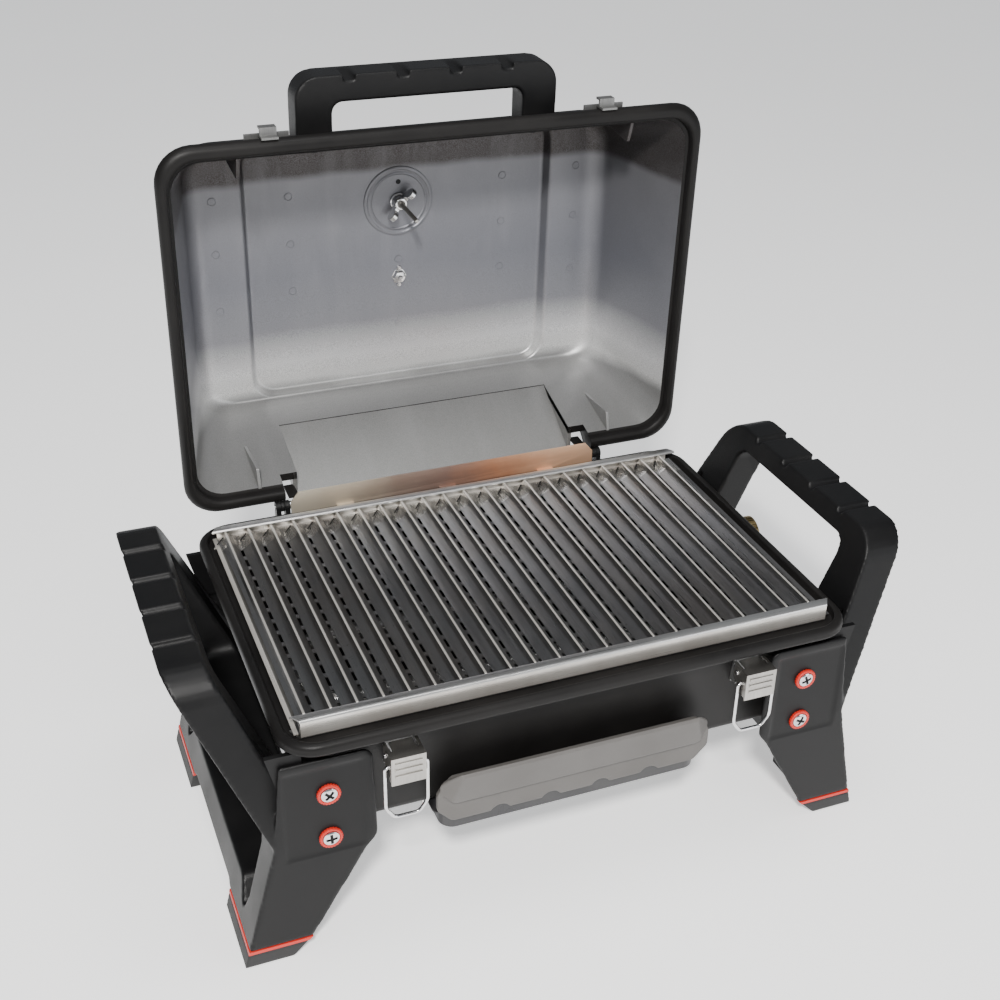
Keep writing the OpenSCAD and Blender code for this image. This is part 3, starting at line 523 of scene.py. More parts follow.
def machined_brass():
    n = Nodes("machined_brass")
    turned = n.noise(900, 3, (0.02, 1, 1))
    color = n.mix(n.grey_ramp(turned, 0, 1), (0.55, 0.40, 0.17), (0.66, 0.51, 0.25))
    return n.done(color, n.grey_ramp(turned, 0.22, 0.36), 1.0, n.bump(turned, 0.1, 0.0002))


PAINT = painted_black()
BARE = bare_casting_painted_light()
NYLON = moulded_black()
DARK = moulded_black("dark_steel", 0.006, 0.012)
GRATE = grate_steel()
# Much lighter copy of the grate steel for the fold crests and the left flange: painted highlight.
CREST_HIGHLIGHT = brushed("crest_highlight_steel", (0.74, 0.70, 0.64), (0.84, 0.81, 0.76), "y", (0.26, 0.40), metallic=0.75)
RAIL = brushed("rail_steel", (0.58, 0.54, 0.49), (0.82, 0.79, 0.74), "x", (0.26, 0.42), metallic=0.7)
PRESSED = brushed("pressed_steel", (0.34, 0.33, 0.32), (0.58, 0.57, 0.55), "y", (0.20, 0.36), metallic=0.95)
STEEL_X = brushed("steel_x", (0.66, 0.65, 0.63), (0.74, 0.73, 0.71), "x")
STEEL_Z = brushed("steel_z", (0.40, 0.385, 0.36), (0.52, 0.50, 0.47), "z", (0.28, 0.45))
DULL = brushed("dull_zinc", (0.16, 0.16, 0.16), (0.22, 0.22, 0.215), "z", (0.4, 0.55), metallic=0.8)
TINTED = heat_tinted()
PLATED = plated()
RED = satin_plastic("trim_red", (0.50, 0.018, 0.010), (0.58, 0.026, 0.014), (0.32, 0.45))
RUBBER = satin_plastic("foot_rubber", (0.010, 0.010, 0.011), (0.018, 0.018, 0.018), (0.55, 0.7))
GREY = grey_handle()
GLASS = lens_glass()
BRASS = machined_brass()
CERAMIC = satin_plastic("ceramic", (0.76, 0.73, 0.66), (0.82, 0.80, 0.74), (0.12, 0.2))
DIAL = satin_plastic("dial_white", (0.80, 0.80, 0.77), (0.84, 0.84, 0.81), (0.4, 0.5))
ENAMEL = satin_plastic("tray_enamel", (0.020, 0.020, 0.022), (0.034, 0.033, 0.034), (0.25, 0.4))


# ------------------------------------------------------------------ camera, floor and light


def make_camera():
    azimuth, elevation, roll = math.radians(-21.99), math.radians(29.90), math.radians(1.15)
    eye = Vector((-396.6, -955.1, 874.1)) * MM + Vector((0, Y_SHIFT, Z_SHIFT))
    back = Vector((
        math.sin(azimuth) * math.cos(elevation), -math.cos(azimuth) * math.cos(elevation), math.sin(elevation)
    ))
    level = Vector((0, 0, 1)).cross(back).normalized()
    upright = back.cross(level)
    right = level * math.cos(roll) + upright * math.sin(roll)
    up = back.cross(right)
    data = bpy.data.cameras.new("camera")
    data.sensor_width = 36
    data.lens = 51.63
    data.clip_start, data.clip_end = 0.05, 20
    cam = bpy.data.objects.new("camera", data)
    cam.matrix_world = Matrix.Translation(eye) @ Matrix((right, up, back)).transposed().to_4x4()
    bpy.context.scene.collection.objects.link(cam)
    bpy.context.scene.camera = cam


def area_light(name, at, target, size, power, color=(1, 1, 1)):
    data = bpy.data.lights.new(name, "AREA")
    data.shape = "SQUARE"
    data.size = size
    data.energy = power
    data.color = color
    obj = bpy.data.objects.new(name, data)
    obj.location = at
    obj.rotation_euler = (Vector(target) - Vector(at)).to_track_quat("-Z", "Y").to_euler()
    bpy.context.scene.collection.objects.link(obj)


def make_stage():
    bm = bmesh.new()
    bmesh.ops.create_grid(bm, x_segments=2, y_segments=2, size=6)
    floor_mesh = bpy.data.meshes.new("floor")
    bm.to_mesh(floor_mesh)
    bm.free()
    floor = bpy.data.objects.new("floor", floor_mesh)
    floor.location.z = -0.0005
    bpy.context.scene.collection.objects.link(floor)
    n = Nodes("floor")
    tone = n.grey_ramp(n.noise(1.5, 2), 0.86, 0.90)
    white = n.done(tone, 0.7, Emission_Strength=0.66)
    n.bsdf.inputs["Emission Color"].default_value = (1, 1, 1, 1)
    floor_mesh.materials.append(white)
    world = bpy.data.worlds.new("world")
    world.use_nodes = True
    world.node_tree.nodes["Background"].inputs["Color"].default_value = (0.90, 0.94, 1.0, 1)
    world.node_tree.nodes["Background"].inputs["Strength"].default_value = 0.26
    bpy.context.scene.world = world
    area_light("key", (-0.75, -1.75, 1.95), (0, 0.05, 0.32), 0.24, 104, (1, 0.985, 0.96))
    area_light("front", (1.3, -1.9, 0.7), (0, 0, 0.25), 1.0, 10, (0.95, 0.97, 1))
    area_light("top", (0.1, -0.2, 2.3), (0, 0.0, 0.2), 0.9, 16)


# ------------------------------------------------------------------ lid

LID_RIM_Z = RIM_Z + 1
LID_DEPTH = 136
STEP_DEPTH = 125
WALL = 4
VENT_HX = 153
HOOD_HX = 137
RIB_X = 174.5
HOOD_TOP = (136, 293)
HOOD_END = (174, 229)


def lid_profile():
    """Rings of the lid's skin, from the middle of its inside, over the rim, to the middle of its outside."""
    z = LID_RIM_Z
    rings, slots = [], []

    def ring(hx, hy, r, depth, slot):
        rings.append((hx, hy, r, z + depth))
        slots.append(slot)

    # inside: flat panel, step, facets
    ring(60, 60, 20, LID_DEPTH, 1)
    ring(130, 112, 18, LID_DEPTH, 1)
    ring(142, 120, 20, LID_DEPTH, 1)
    for sine, cosine in quarter(4):
        ring(144 + 3 * sine, 121.5 + 2.2 * sine, 20, LID_DEPTH - 3 * (1 - cosine), 1)
    for sine, cosine in quarter(4):
        ring(149 + 4 * (1 - cosine), 124 + 1.2 * (1 - cosine), 21, STEP_DEPTH + 4 * (1 - sine), 1)
    # facet to wall with a wide blend
    for sine, cosine in quarter(8):
        ring(184 + 21.5 * sine, 124.6 + 4.4 * sine, 22 + 6 * sine, STEP_DEPTH - 17 * (1 - cosine), 1)
    for t in (0.25, 0.5, 0.75):
        depth = (STEP_DEPTH - 17) * (1 - t) + 9 * t
        ring(205.5 + (229.8 - 205.5) * t, 129 + (153.2 - 129) * t, 28 - 3 * t, depth, 1)
    ring(229.8, 153.2, 25, 9, 1)
    # inner bead line and rounded lip, painted
    ring(230.6, 154, 25, 8.4, 0)
    ring(232.4, 156, 26, 8.0, 0)
    ring(233.0, 156.6, 26, 3.5, 0)
    for sine, cosine in quarter(4)[1:]:
        ring(233.0 + 3.5 * (1 - cosine), 156.6 + 3.5 * (1 - cosine), 27, 3.5 * (1 - sine), 0)
    for sine, cosine in quarter(6):
        ring(236.5 + 6 * sine, 162.5 + 6 * sine, 30, 7.5 * (1 - cosine), 0)
    for sine, cosine in quarter(6)[1:]:
        ring(236.2 + 6.3 * cosine, 162.2 + 6.3 * cosine, 31, 7.5 + 7.5 * sine, 0)
    ring(234.6, 160.6, 30, 15.2, 0)
    for t in (0.12, 0.5, 0.8):
        depth = 15.5 * (1 - t) + 112 * t
        ring(233.4 + (209.8 - 233.4) * t, 157.6 + (133.2 - 157.6) * t, 29, depth, 0)
    for sine, cosine in quarter(6):
        ring(189.5 + 20 * cosine, 129 + 4 * cosine, 27, 112 + 17 * sine, 0)
    for sine, cosine in quarter(4):
        ring(152 + 5 * (1 - sine), 127.8 + 1 - sine, 24, STEP_DEPTH + WALL + 5 * (1 - cosine), 0)
    for sine, cosine in quarter(4):
        ring(147 + 4 * cosine, 123.8 + 3.6 * cosine, 22, LID_DEPTH + WALL - 5 * (1 - sine), 0)
    ring(120, 100, 18, LID_DEPTH + WALL, 0)
    ring(60, 60, 16, LID_DEPTH + WALL, 0)
    return rings, slots


def vent_cutter():
    bm = bmesh.new()
    behind = 1.2
    outline = [(110, LID_RIM_Z - 4), (195, LID_RIM_Z - 4), (195, HOOD_END[1]),
               (HOOD_END[0] + behind, HOOD_END[1]), (HOOD_TOP[0] + behind, HOOD_TOP[1]), (110, HOOD_TOP[1])]
    prism(bm, outline, -HOOD_HX, HOOD_HX)
    return mesh_of(bm, "vent_cutter")


def box_cutter(x0, x1, y0, y1, z0, z1):
    bm = bmesh.new()
    cuboid(bm, x0, x1, y0, y1, z0, z1)
    return mesh_of(bm, "box_cutter")


def build_lid():
    rings, slots = lid_profile()
    bm = bmesh.new()
    loft(bm, rings, slots[1:])
    shell_mesh = mesh_of(bm, "lid_shell_fine", 40)
    shell = bpy.data.objects.new("lid_work", shell_mesh)
    bpy.context.scene.collection.objects.link(shell)
    for mat in (PAINT, BARE):
        shell_mesh.materials.append(mat)
    cut_away(shell, vent_cutter())
    cut_away(shell, box_cutter(-VENT_HX, VENT_HX, 140, 195, LID_RIM_Z - 4, HOOD_END[1]))
    mesh = shell.data.copy()
    bpy.data.objects.remove(shell)
    mesh.set_sharp_from_angle(angle=math.radians(38))
    new_piece("lid_shell_fine", mesh, "lid", [PAINT, BARE], ("lid_shell",), OPENED)

    # Sloping hood over the vent, with its two cheeks.
    bm = bmesh.new()
    prism(bm, [(HOOD_TOP[0] - 2.4, HOOD_TOP[1] + 3), HOOD_END, (HOOD_END[0] + 3, HOOD_END[1]),
               (HOOD_TOP[0] + 3, HOOD_TOP[1] + 3)], -HOOD_HX - 1.5, HOOD_HX + 1.5)
    for s in (-1, 1):
        prism(bm, [(150.6, HOOD_END[1]), HOOD_END, HOOD_TOP], s * HOOD_HX, s * (HOOD_HX + 4))
    hood = new_piece("lid_vent_hood", mesh_of(bm, "lid_vent_hood"), "lid", [BARE], (), OPENED)
    round_edges(hood, 0.8)

    # Gusset ribs: thin triangles on the front and rear walls.
    bm = bmesh.new()
    for sx in (-1, 1):
        for sy in (-1, 1):
            outline = [(154, 8), (151, 8.5), (136, 13), (135, 15.5), (139.6, 64), (142, 64)]
            prism(bm, [(sy * y, LID_RIM_Z + z) for y, z in outline], sx * RIB_X - 1.5, sx * RIB_X + 1.5)
    mesh = mesh_of(bm, "lid_gusset_ribs")
    ribs = new_piece("lid_gusset_ribs", mesh, "lid", [BARE], (), OPENED)
    round_edges(ribs, 0.5)

    # Returns that close the corners between the hood and the wall beside it.
    bm = bmesh.new()
    for s in (-1, 1):
        ends = sorted((s * 140, s * 149.5))
        cuboid(bm, *ends, 164.3, 166.3, LID_RIM_Z + 3, HOOD_END[1] + 3)
    mesh = mesh_of(bm, "lid_vent_returns")
    new_piece("lid_vent_returns", mesh, "lid", [PAINT], (), OPENED)

    # Ejector marks: shallow rings on the panel and the facets.
    bm = bmesh.new()
    panel_z, facet_z = LID_RIM_Z + LID_DEPTH, LID_RIM_Z + STEP_DEPTH
    spots = [(sx * 105, y, panel_z) for sx in (-1, 1) for y in (-70.7, -24.7, 22.3, 69.3)]
    spots += [(0, y, panel_z) for y in (2.3, 69.3)]
    spots += [(sx * 177, y, facet_z) for sx in (-1, 1) for y in (-77, -27, 29, 78)]
    for x, y, z in spots:
        at = Matrix.Translation((x, y, z))
        lathe(bm, [(0, -0.15), (2.9, -0.15), (3.2, -0.55), (3.9, -0.55), (4.2, 0.2)], 24, at)
    mesh = mesh_of(bm, "lid_ejector_marks")
    new_piece("lid_ejector_marks", mesh, "lid", [BARE], (), OPENED)


# ------------------------------------------------------------------ gauge


def build_gauge():
    top_z = LID_RIM_Z + LID_DEPTH + WALL
    inner_z = LID_RIM_Z + LID_DEPTH

    # Embossed seat on the inside of the lid, round the probe, with its locating hole.
    bm = bmesh.new()
    at = Matrix.Translation((0, GAUGE_Y, inner_z))
    lathe(bm, [(34.2, 0.4), (33.6, -0.8), (32.4, -1.3), (31.0, -1.2), (30.2, -0.6), (28.8, -0.5),
               (28.0, -1.0), (26.8, -1.1), (25.8, -0.5), (6, -0.5), (5.2, 0.4)], 72, at)
    new_piece("gauge_seat", mesh_of(bm, "gauge_seat", 28), "lid", [BARE], (), OPENED)
    # The locating hole is a dark disc set in the seat: painted shade of the hole.
    bm = bmesh.new()
    at = Matrix.Translation((0, GAUGE_Y - 19, inner_z))
    lathe(bm, [(0, -0.62), (2.4, -0.62), (2.4, 0.2), (0, 0.2)], 24, at)
    mesh = mesh_of(bm, "gauge_hole_painted_shade")
    new_piece("gauge_hole_painted_shade", mesh, "lid", [DARK], (), OPENED)

    # Wing nut: a turned hub with two round-lobed wings.
    bm = bmesh.new()
    hub = Matrix.Translation((0, GAUGE_Y, inner_z))
    lathe(bm, [(3.3, -0.8), (8.6, -0.8), (8.6, -2.0), (7.0, -2.8), (6.6, -9.0), (5.4, -10.4), (3.3, -10.4),
               (3.3, -0.8)], 32, hub)
    for side in (-48, 132):
        spin = hub @ Matrix.Rotation(math.radians(side), 4, "Z")
        lobe = [(13.4 + 5.4 * math.cos(math.radians(t)), -12.0 - 5.4 * math.sin(math.radians(t)))
                for t in range(-70, 191, 20)]
        outline = [(4.5, -2.4), (9.0, -3.4), *lobe, (4.5, -9.8)]
        a = [bm.verts.new(spin @ Vector((x, -2.4, z))) for x, z in outline]
        b = [bm.verts.new(spin @ Vector((x, 2.4, z))) for x, z in outline]
        join_ends(bm, a, b)
    nut = new_piece("gauge_wing_nut_fine", mesh_of(bm, "gauge_wing_nut_fine"), "lid", [PLATED],
                    ("gauge_wing_nut",), OPENED)
    round_edges(nut, 0.6)

    # Probe with a threaded shank and a rounded tip.
    bm = bmesh.new()
    top = Matrix.Translation((0, GAUGE_Y, top_z))
    profile = [(0, 2.8), (2.2, 2.8), (3.3, -0.2)]
    turns = 22
    for k in range(turns):
        z = -0.4 - k * 0.8
        profile += [(3.3, z), (2.95, z - 0.4)]
    profile += [(2.2, -18.6), (2.2, -58), (1.6, -59.6), (0, -60)]
    lathe(bm, profile, 28, top)
    new_piece("gauge_probe_fine", mesh_of(bm, "gauge_probe_fine", 50), "lid", [STEEL_Z],
              ("gauge_probe",), OPENED)

    # Dial marks: plain ticks, with no lettering.
    bm = bmesh.new()
    for k in range(28):
        a = math.radians(-45 + 10 * k)
        long = k % 3 == 0
        m = top @ Matrix.Rotation(a, 4, "Z") @ Matrix.Translation((18 if long else 20, 0, 4.0))
        size = Matrix.Diagonal((5, 0.9, 0.25, 1)) if long else Matrix.Diagonal((3, 0.5, 0.25, 1))
        bmesh.ops.create_cube(bm, size=1, matrix=m @ Matrix.Translation((2, 0, 0.1)) @ size)
    new_piece("dial_marks", mesh_of(bm, "dial_marks"), "lid", [DARK], (), OPENED)

    # Badge nut with its two studs, inside.
    bm = bmesh.new()
    badge = Matrix.Translation((0, BADGE_Y, inner_z))
    lathe(bm, [(0, -7.2), (1.8, -7.2), (2.4, -6.4), (2.4, -5.0), (5.6, -4.6), (6.6, -3.8), (6.6, -1.0),
               (7.6, -0.8), (7.6, 0.3)], 6, badge)
    for dy in (-8.5, 8.5):
        stud = badge @ Matrix.Translation((0, dy, 0))
        lathe(bm, [(0, -2.0), (1.9, -1.9), (2.5, -1.3), (2.7, 0.3)], 20, stud)
    new_piece("badge_nut_fine", mesh_of(bm, "badge_nut_fine", 30), "lid", [PLATED],
              ("badge_nut",), OPENED)
    soften("gauge_housing", PLATED, 0.8)
    soften("badge_plate", STEEL_X, 0.5)


# ------------------------------------------------------------------ firebox


def firebox_profile():
    """Rings of the firebox's skin: up its inside, over the ledge and the rim, and down its outside."""
    rings = [(60, 60, 12, FLOOR_Z + 3.4), (190, 112, 16, FLOOR_Z + 3.4)]
    for sine, cosine in quarter(4):
        rings.append((202 + 8 * sine, 123 + 8 * sine, 18, FLOOR_Z + 3.6 + 8 * (1 - cosine)))
    rings += [(217, 136.5, 20, 150), (222.5, 139.6, 22, 188), (223.5, 140.0, 22, 198.5),
              (224.3, 140.6, 22, 200.1), (226, 142, 22, 200.5), (229.5, 157, 22, 200.5),
              (231.2, 158.6, 22, 201.1), (232.0, 159.2, 23, 203.0), (232.6, 159.6, 23, 205.6)]
    for sine, cosine in quarter(4):
        rings.append((234.4 - 1.6 * cosine, 161.2 - 1.6 * cosine, 25, RIM_Z - 1.5 + 1.5 * sine))
    lip_r = 4.5
    for sine, cosine in quarter(6):
        rings.append((RIM_HX - lip_r + lip_r * sine, RIM_HY - lip_r + lip_r * sine, 28 + 2 * sine,
                      RIM_Z - lip_r * (1 - cosine)))
    rings.append((RIM_HX, RIM_HY, 30, 200.5))
    under_r = 3.2
    for sine, cosine in quarter(4):
        rings.append((RIM_HX - under_r * (1 - cosine), RIM_HY - under_r * (1 - cosine), 29,
                      199.4 - under_r * sine))
    rings += [(234, 152.5, 27, 196.1), (231.0, 149, 25, 195.2), (229.8, 147.6, 24, 192)]
    for sine, cosine in quarter(4):
        rings.append((206.5 + 8 * cosine, 127.5 + 8 * cosine, 21, FLOOR_Z + 8 - 8 * sine))
    return rings + [(190, 110, 16, FLOOR_Z), (60, 60, 12, FLOOR_Z)]


def build_firebox():
    bm = bmesh.new()
    loft(bm, firebox_profile())
    body = bpy.data.objects.new("firebox_work", mesh_of(bm, "firebox_fine", 40))
    bpy.context.scene.collection.objects.link(body)

    # Holes of the burner tube and the igniter in the right end, the drain and the air slots in the floor.
    bm = bmesh.new()
    along = Matrix.Rotation(math.radians(90), 4, "Y")
    for y, r in ((-45, 12.5), (-76, 4.0)):
        lathe(bm, [(0, 0), (r, 0), (r, 40), (0, 40)], 32, Matrix.Translation((200, y, 146)) @ along)
    lathe(bm, [(0, 0), (14, 0), (14, 12), (0, 12)], 40, Matrix.Translation((0, 0, FLOOR_Z - 4)))
    for x in (-90, -45, 0, 45, 90):
        for s in (-1, 1):
            cuboid(bm, x - 12, x + 12, s * 93 - 3, s * 93 + 3, FLOOR_Z - 4, FLOOR_Z + 9)
    cut_away(body, mesh_of(bm, "firebox_cutter"))
    mesh = body.data.copy()
    bpy.data.objects.remove(body)
    mesh.set_sharp_from_angle(angle=math.radians(38))
    new_piece("firebox_fine", mesh, "chassis", [PAINT], ("firebox",))

    # Bosses that the screws of the end frames go into.
    bm = bmesh.new()
    for sx in (-1, 1):
        for sy in (-1, 1):
            inward = Matrix.Rotation(math.radians(90 * sy), 4, "X")
            for z in (150.4, 107.6):
                at = Matrix.Translation((sx * 205.6, sy * 149.8, z)) @ inward
                lathe(bm, [(0, 0), (6.6, 0), (7, 0.6), (7.6, 14), (0, 14)], 28, at)
    new_piece("firebox_bosses", mesh_of(bm, "firebox_bosses"), "chassis", [PAINT])

    # Webs that close the notch between each corner panel and its arm.
    bm = bmesh.new()
    for sx in (-1, 1):
        for sy in (-1, 1):
            outline = [(sx * x, z) for x, z in ((224, 192), (251, 192), (240, 148), (222, 148))]
            prism(bm, outline, sy * 149.6, sy * 145.5, "y")
    new_piece("frame_corner_webs", mesh_of(bm, "frame_corner_webs"), "chassis", [NYLON])


# ------------------------------------------------------------------ grate

GRATE_LO, GRATE_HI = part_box("grate_front_rail")
GRATE_HX = (GRATE_HI.x - GRATE_LO.x) / 2 / MM
GRATE_HY = 146
RIDGES = 22
PITCH = 20.38
FIRST_RIDGE = 10.8
CREST_Z = 214.6
VALLEY_Z = 204.4
END_Z = 205.4
SHEET = 1.0
SLOT_PITCH = 17.0
SLOT_LENGTH = 11.8
FIRST_SLOT = 14
RAIL_CUT_X = 6
RAIL_CUT_Y = 9
# The third kind of strip is drawn in the light crest steel: painted highlight.
PLAIN, SLOTTED, PAINTED_HIGHLIGHT = range(3)


def fold_profile():
    """One pitch of the sheet, crest to crest: (share of the pitch, height, kind of the next strip)."""
    return [
        (0.000, CREST_Z - 0.4, PAINTED_HIGHLIGHT), (0.025, CREST_Z, PAINTED_HIGHLIGHT), (0.075, CREST_Z, PAINTED_HIGHLIGHT),
        (0.100, CREST_Z - 0.5, PLAIN), (0.440, VALLEY_Z + 1.2, PLAIN), (0.470, VALLEY_Z + 0.4, SLOTTED),
        (0.590, VALLEY_Z, PLAIN), (0.66, VALLEY_Z + 0.7, PLAIN), (0.90, VALLEY_Z + 4.2, PLAIN),
        (0.965, VALLEY_Z + 6.0, PLAIN),
    ]


def build_grate():
    first = -GRATE_HX + FIRST_RIDGE
    hy = GRATE_HY - 1.6
    columns = [(-GRATE_HX + 1.2, END_Z, PAINTED_HIGHLIGHT), (-GRATE_HX + 4.6, END_Z + 0.4, PLAIN),
               (first - 4.6, CREST_Z - 5.2, PLAIN), (first - 1.4, VALLEY_Z + 6.4, PLAIN)]
    for i in range(RIDGES):
        for share, z, kind in fold_profile():
            x = first + (i + share) * PITCH
            if x < GRATE_HX - 2.2:
                columns.append((x, z, kind))
    columns.append((GRATE_HX - 1.2, END_Z, PLAIN))
    # Rows from front to back: (y, share of the full fold on the plates, share on the crests).
    rows = [(-hy, 0.0, 0.0), (-hy + 6, 0.65, 0.65), (-hy + 10, 1.0, 1.0)]
    slots = int((2 * hy - FIRST_SLOT - 8) / SLOT_PITCH)
    slot_rows = set()
    for k in range(slots):
        start = -hy + FIRST_SLOT + k * SLOT_PITCH
        slot_rows.add(len(rows))
        rows.append((start, 1.0, 1.0))
        rows.append((start + SLOT_LENGTH, 1.0, 1.0))
    last = rows[-1][0]
    rows.append((last + (hy - last) * 0.45, 0.5, 1.0))
    rows.append((last + (hy - last) * 0.75, 0.2, 0.95))
    rows.append((hy, 0.0, 0.0))
    bm = bmesh.new()
    grid = []
    for r, (y, plate, crest) in enumerate(rows):
        line = []
        for x, z, _kind in columns:
            u = ((x - first) / PITCH) % 1.0
            on_crest = u < 0.12 or u > 0.97
            slant = 3.5 * (1 - u) if r in (len(rows) - 3, len(rows) - 2) and not on_crest else 0
            line.append(bm.verts.new((x, y - slant, END_Z + (z - END_Z) * (crest if on_crest else plate))))
        grid.append(line)
    for r in range(len(rows) - 1):
        for c in range(len(columns) - 1):
            kind = columns[c][2]
            if kind == SLOTTED and r in slot_rows:
                continue
            face = bm.faces.new((grid[r][c], grid[r][c + 1], grid[r + 1][c + 1], grid[r + 1][c]))
            # Crest strips get the light crest steel as painted highlight; the last rows get the pressed
            # steel.
            face.material_index = 1 if kind == PAINTED_HIGHLIGHT else 2 if r >= len(rows) - 4 else 0
    mesh = mesh_of(bm, "cooking_grate_fine", 50)
    steels = [GRATE, CREST_HIGHLIGHT, PRESSED]
    sheet = new_piece("cooking_grate_fine", mesh, "grate", steels, ("cooking_grate",))
    solid = sheet.modifiers.new("thickness", "SOLIDIFY")
    solid.thickness = SHEET * MM
    solid.offset = -1
    apply_modifiers(sheet, 28)

    # Slits where the crests were folded at the back, drawn as thin dark strips on the sheet: painted shade of
    # the slits.
    bm = bmesh.new()
    for i in range(RIDGES):
        x = first + i * PITCH
        p, q = Vector((x - 0.8, hy - 3.0, END_Z + 1.25)), Vector((x - 8.0, hy - 13.5, END_Z + 1.5))
        d = (q - p).normalized()
        side = Vector((-d.y, d.x, 0)) * 0.55
        v = [bm.verts.new(c) for c in (p - side, p + side, q + side, q - side)]
        w = [bm.verts.new(c.co + Vector((0, 0, 0.25))) for c in v]
        join_ends(bm, v, w)
    new_piece("grate_fold_slits_painted_shade", mesh_of(bm, "grate_fold_slits_painted_shade"), "grate", [DARK])

    for name, s in (("grate_front_rail", -1), ("grate_rear_rail", 1)):
        lo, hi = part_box(name)
        z0, z1 = (TO_DRAWN @ lo).z, (TO_DRAWN @ hi).z
        t = 1.2
        # Section of the rail: (distance in from its outer face, height).
        hem = [(9, z1 - 2.6), (9.4, z1 - 1.4), (8.6, z1 - 0.3), (7, z1), (2.2, z1), (0.7, z1 - 0.5),
               (0, z1 - 1.8), (0, z0 + 1.8), (0.8, z0 + 0.4), (2.2, z0), (12, z0), (12, z0 + t),
               (2.6, z0 + t), (t, z0 + 2.6), (t, z1 - 2.4), (2.4, z1 - t), (7, z1 - t), (8.0, z1 - 1.6)]
        bm = bmesh.new()
        prism(bm, [(s * (GRATE_HY - inward), z) for inward, z in hem], -GRATE_HX, GRATE_HX)
        # The corners are cut off, so that the closed lid clears them.
        for v in bm.verts:
            past = abs(v.co.y) - (GRATE_HY - RAIL_CUT_Y)
            v.co.x -= math.copysign(max(past, 0) * RAIL_CUT_X / RAIL_CUT_Y, v.co.x)
        mesh = mesh_of(bm, name + "_fine", 30)
        for face in mesh.polygons:
            face.material_index = 0 if abs(face.normal.y) > 0.95 else 1
        rail = new_piece(name + "_fine", mesh, "grate", [RAIL, STEEL_X], (name,))
        round_edges(rail, 0.3, 2, 40)


# ------------------------------------------------------------------ latches


def build_latches():
    for side in ("left", "right"):
        x0, y, z = TO_DRAWN @ Vector(joints[side + "_bail_hinge"]["pos_m"])
        lo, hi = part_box(side + "_latch_bail")
        low, half = (TO_DRAWN @ lo).z + 1.5, (hi.x - lo.x) / 2 / MM - 1.5
        loop = [(x0 - 9.8, y, z), (x0 - half, y, z), (x0 - half, y, low + 10), (x0 - half + 7, y, low),
                (x0 + half - 7, y, low), (x0 + half, y, low + 10), (x0 + half, y, z), (x0 + 9.8, y, z)]
        tube(side + "_latch_bail_fine", loop, 1.45, side + "_bail", PLATED,
             (side + "_latch_bail",), bend=3.2)
        soften(side + "_latch_lever", STEEL_Z, 0.7)


# ------------------------------------------------------------------ screws of the end frames


def build_frame_screws():
    """Red toothed collars and domed heads with a cross recess, standing on the corner panels."""
    lo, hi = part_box("screw_collars")
    collar_r, stand = 9.3, 3.0
    x = (hi.x - lo.x) / 2 / MM - collar_r
    face_y = (hi.y - lo.y) / 2 / MM - stand
    z_low, z_high = (TO_DRAWN @ lo).z + collar_r, (TO_DRAWN @ hi).z - collar_r

    bm = bmesh.new()
    lathe(bm, [(0, -15.2), (2.5, -15.2), (2.5, 0.4), (6.4, 0.4), (6.5, 1.0), (6.3, 1.7), (5.2, 2.3),
               (3.4, 2.75), (1.6, 2.95), (0, 3.0)], 48)
    head = bpy.data.objects.new("head_work", mesh_of(bm, "head_work", 50))
    bpy.context.scene.collection.objects.link(head)
    for turn in (0, 90):
        bm = bmesh.new()
        at = Matrix.Rotation(math.radians(turn), 4, "Z")
        flare = [(-5.0, 3.4), (-3.4, 0.8), (3.4, 0.8), (5.0, 3.4)]
        a = [bm.verts.new(at @ Vector((u, -1.15, w))) for u, w in flare]
        b = [bm.verts.new(at @ Vector((u, 1.15, w))) for u, w in flare]
        join_ends(bm, a, b)
        cut_away(head, mesh_of(bm, "recess"))
    # Faces inside the cross recess get the dark material: painted shade in the recess.
    for f in head.data.polygons:
        recess_painted_shade = math.hypot(f.center.x, f.center.y) < 4.6 and 0.6 < f.center.z < 2.3
        f.material_index = 1 if recess_painted_shade else 0
    head_mesh = head.data.copy()
    bpy.data.objects.remove(head)

    heads, collars = bmesh.new(), bmesh.new()
    teeth = 24
    for sx in (-1, 1):
        for sy in (-1, 1):
            outward = Matrix.Rotation(math.radians(-90 * sy), 4, "X")
            for z in (z_low, z_high):
                at = Matrix.Translation((sx * x, sy * face_y, z)) @ outward
                spin = Matrix.Rotation(math.radians(17 + 31 * sx + z), 4, "Z")
                piece = head_mesh.copy()
                piece.transform(at @ Matrix.Translation((0, 0, 1.2)) @ spin)
                heads.from_mesh(piece)
                lathe(collars, [(2.7, 0), (8.6, 0), (8.8, 0.3), (8.8, 2.2), (8.4, 2.8), (7.7, 3.0),
                                (7.2, 2.8), (7.0, 2.3), (6.8, 1.6), (2.7, 1.6), (2.7, 0)], 72, at)
                for k in range(teeth):
                    turned = at @ Matrix.Rotation(2 * math.pi * k / teeth, 4, "Z")
                    tooth = turned @ Matrix.Translation((8.75, 0, 1.3)) @ Matrix.Diagonal((1.0, 1.2, 2.2, 1))
                    bmesh.ops.create_cube(collars, size=1, matrix=tooth)
    mesh = mesh_of(heads, "frame_screws_fine", 45)
    new_piece("frame_screws_fine", mesh, "chassis", [PLATED, DARK], ("frame_screws",))
    mesh = mesh_of(collars, "screw_collars_fine", 35)
    new_piece("screw_collars_fine", mesh, "chassis", [RED], ("screw_collars",))


# ------------------------------------------------------------------ everything else that keeps its CAD shape

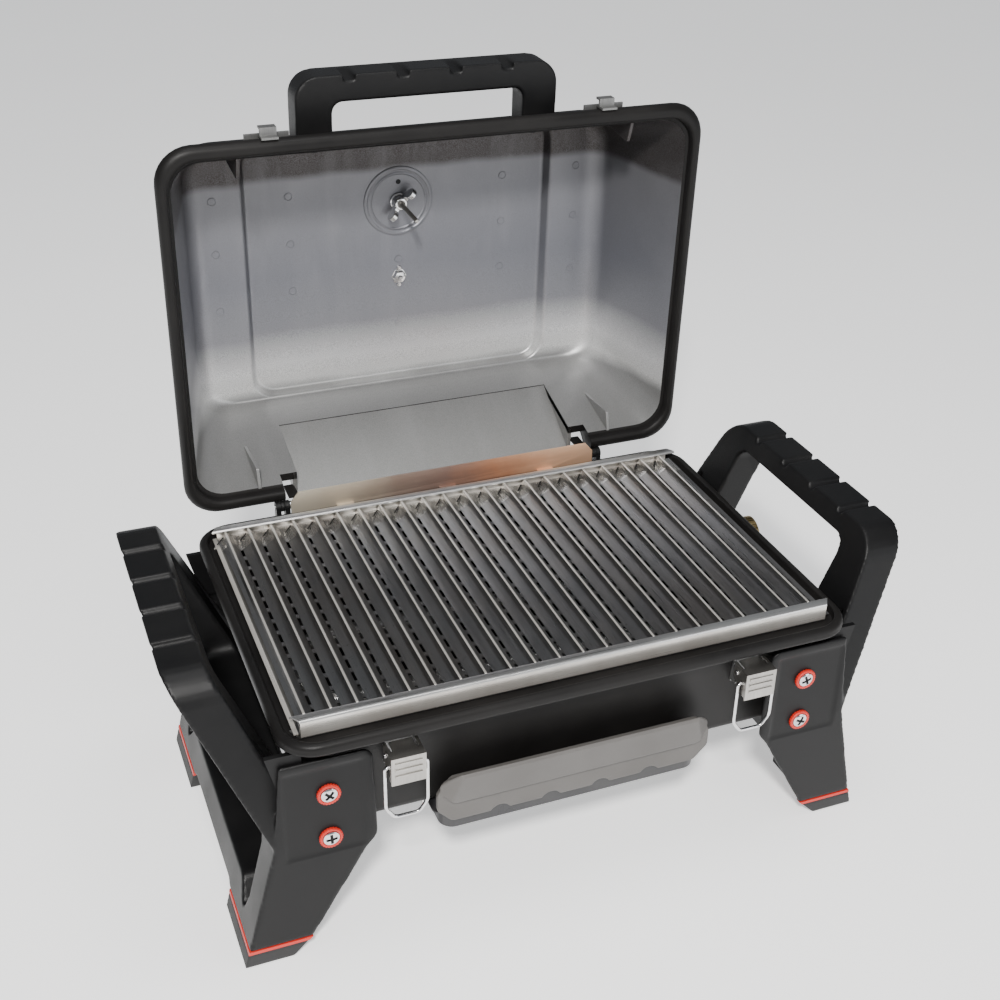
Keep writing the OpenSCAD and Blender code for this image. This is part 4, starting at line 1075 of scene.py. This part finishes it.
MOULDED = {
    # node: material, slot, size of the remeshed faces, rounds of relaxing
    "left_end_frame": (NYLON, "moulded_black", 1.5, 9), "right_end_frame": (NYLON, "moulded_black", 1.5, 9),
    "lid_handle": (NYLON, "moulded_black", 1.2, 14), "tray_handle": (GREY, "grey_plastic", 0.9, 9),
    "foot_pads": (RUBBER, "foot_black", 1.2, 4), "control_knob": (NYLON, "moulded_black", 0.45, 4),
}
SOFTENED = {
    # node: material, slot, width of the rounded edges
    "foot_trim_strips": (RED, "trim_red", 0.3),
    "rear_heat_guard": (TINTED, "heat_tinted", 0.3), "guard_screws": (PLATED, "zinc_steel", 0.4),
    "hinge_lower_leaves": (DARK, "dark_steel", 0.5), "hinge_upper_leaves": (DARK, "dark_steel", 0.5),
    "hinge_lower_screws": (PLATED, "zinc_steel", 0.4), "hinge_upper_screws": (PLATED, "zinc_steel", 0.4),
    "hinge_pins": (PLATED, "zinc_steel", 0.4),
    "lid_catches": (DULL, "zinc_steel", 0.4), "catch_rivets": (DULL, "zinc_steel", 0.5),
    "lid_handle_screws": (DARK, "zinc_steel", 0.5),
    "latch_bases": (DULL, "stainless", 0.4), "latch_rivets": (PLATED, "zinc_steel", 0.4),
    "latch_pins": (PLATED, "zinc_steel", 0.3),
    "grease_tray": (ENAMEL, "dark_steel", 0.6),
    "tray_handle_screws": (PLATED, "zinc_steel", 0.4), "tray_runners": (STEEL_X, "stainless", 0.4),
    "runner_screws": (PLATED, "zinc_steel", 0.4),
    "valve_bracket": (DARK, "dark_steel", 0.4), "gas_valve": (BRASS, "brass", 0.6),
    "valve_screws": (PLATED, "zinc_steel", 0.3), "igniter_housing": (NYLON, "moulded_black", 0.6),
    "igniter_button": (RED, "trim_red", 0.8),
    "burner_tube": (STEEL_X, "stainless", 0.3), "burner_brackets": (STEEL_X, "stainless", 0.3),
    "electrode_bracket": (STEEL_X, "stainless", 0.3), "igniter_electrode": (CERAMIC, "ceramic", 0.3),
}
KEPT = {"gauge_lens": GLASS, "gauge_dial": DIAL, "gauge_needle": RED}


def dress_cad_nodes():
    for node, (material, slot_name, voxel, rounds) in MOULDED.items():
        moulded(node, material, voxel, rounds)
    for node, (material, slot_name, width) in SOFTENED.items():
        soften(node, material, width)
    for node, material in KEPT.items():
        nodes[node].data.materials.clear()
        nodes[node].data.materials.append(material)


make_camera()
make_stage()
build_lid()
build_gauge()
build_firebox()
build_grate()
build_latches()
build_frame_screws()
dress_cad_nodes()
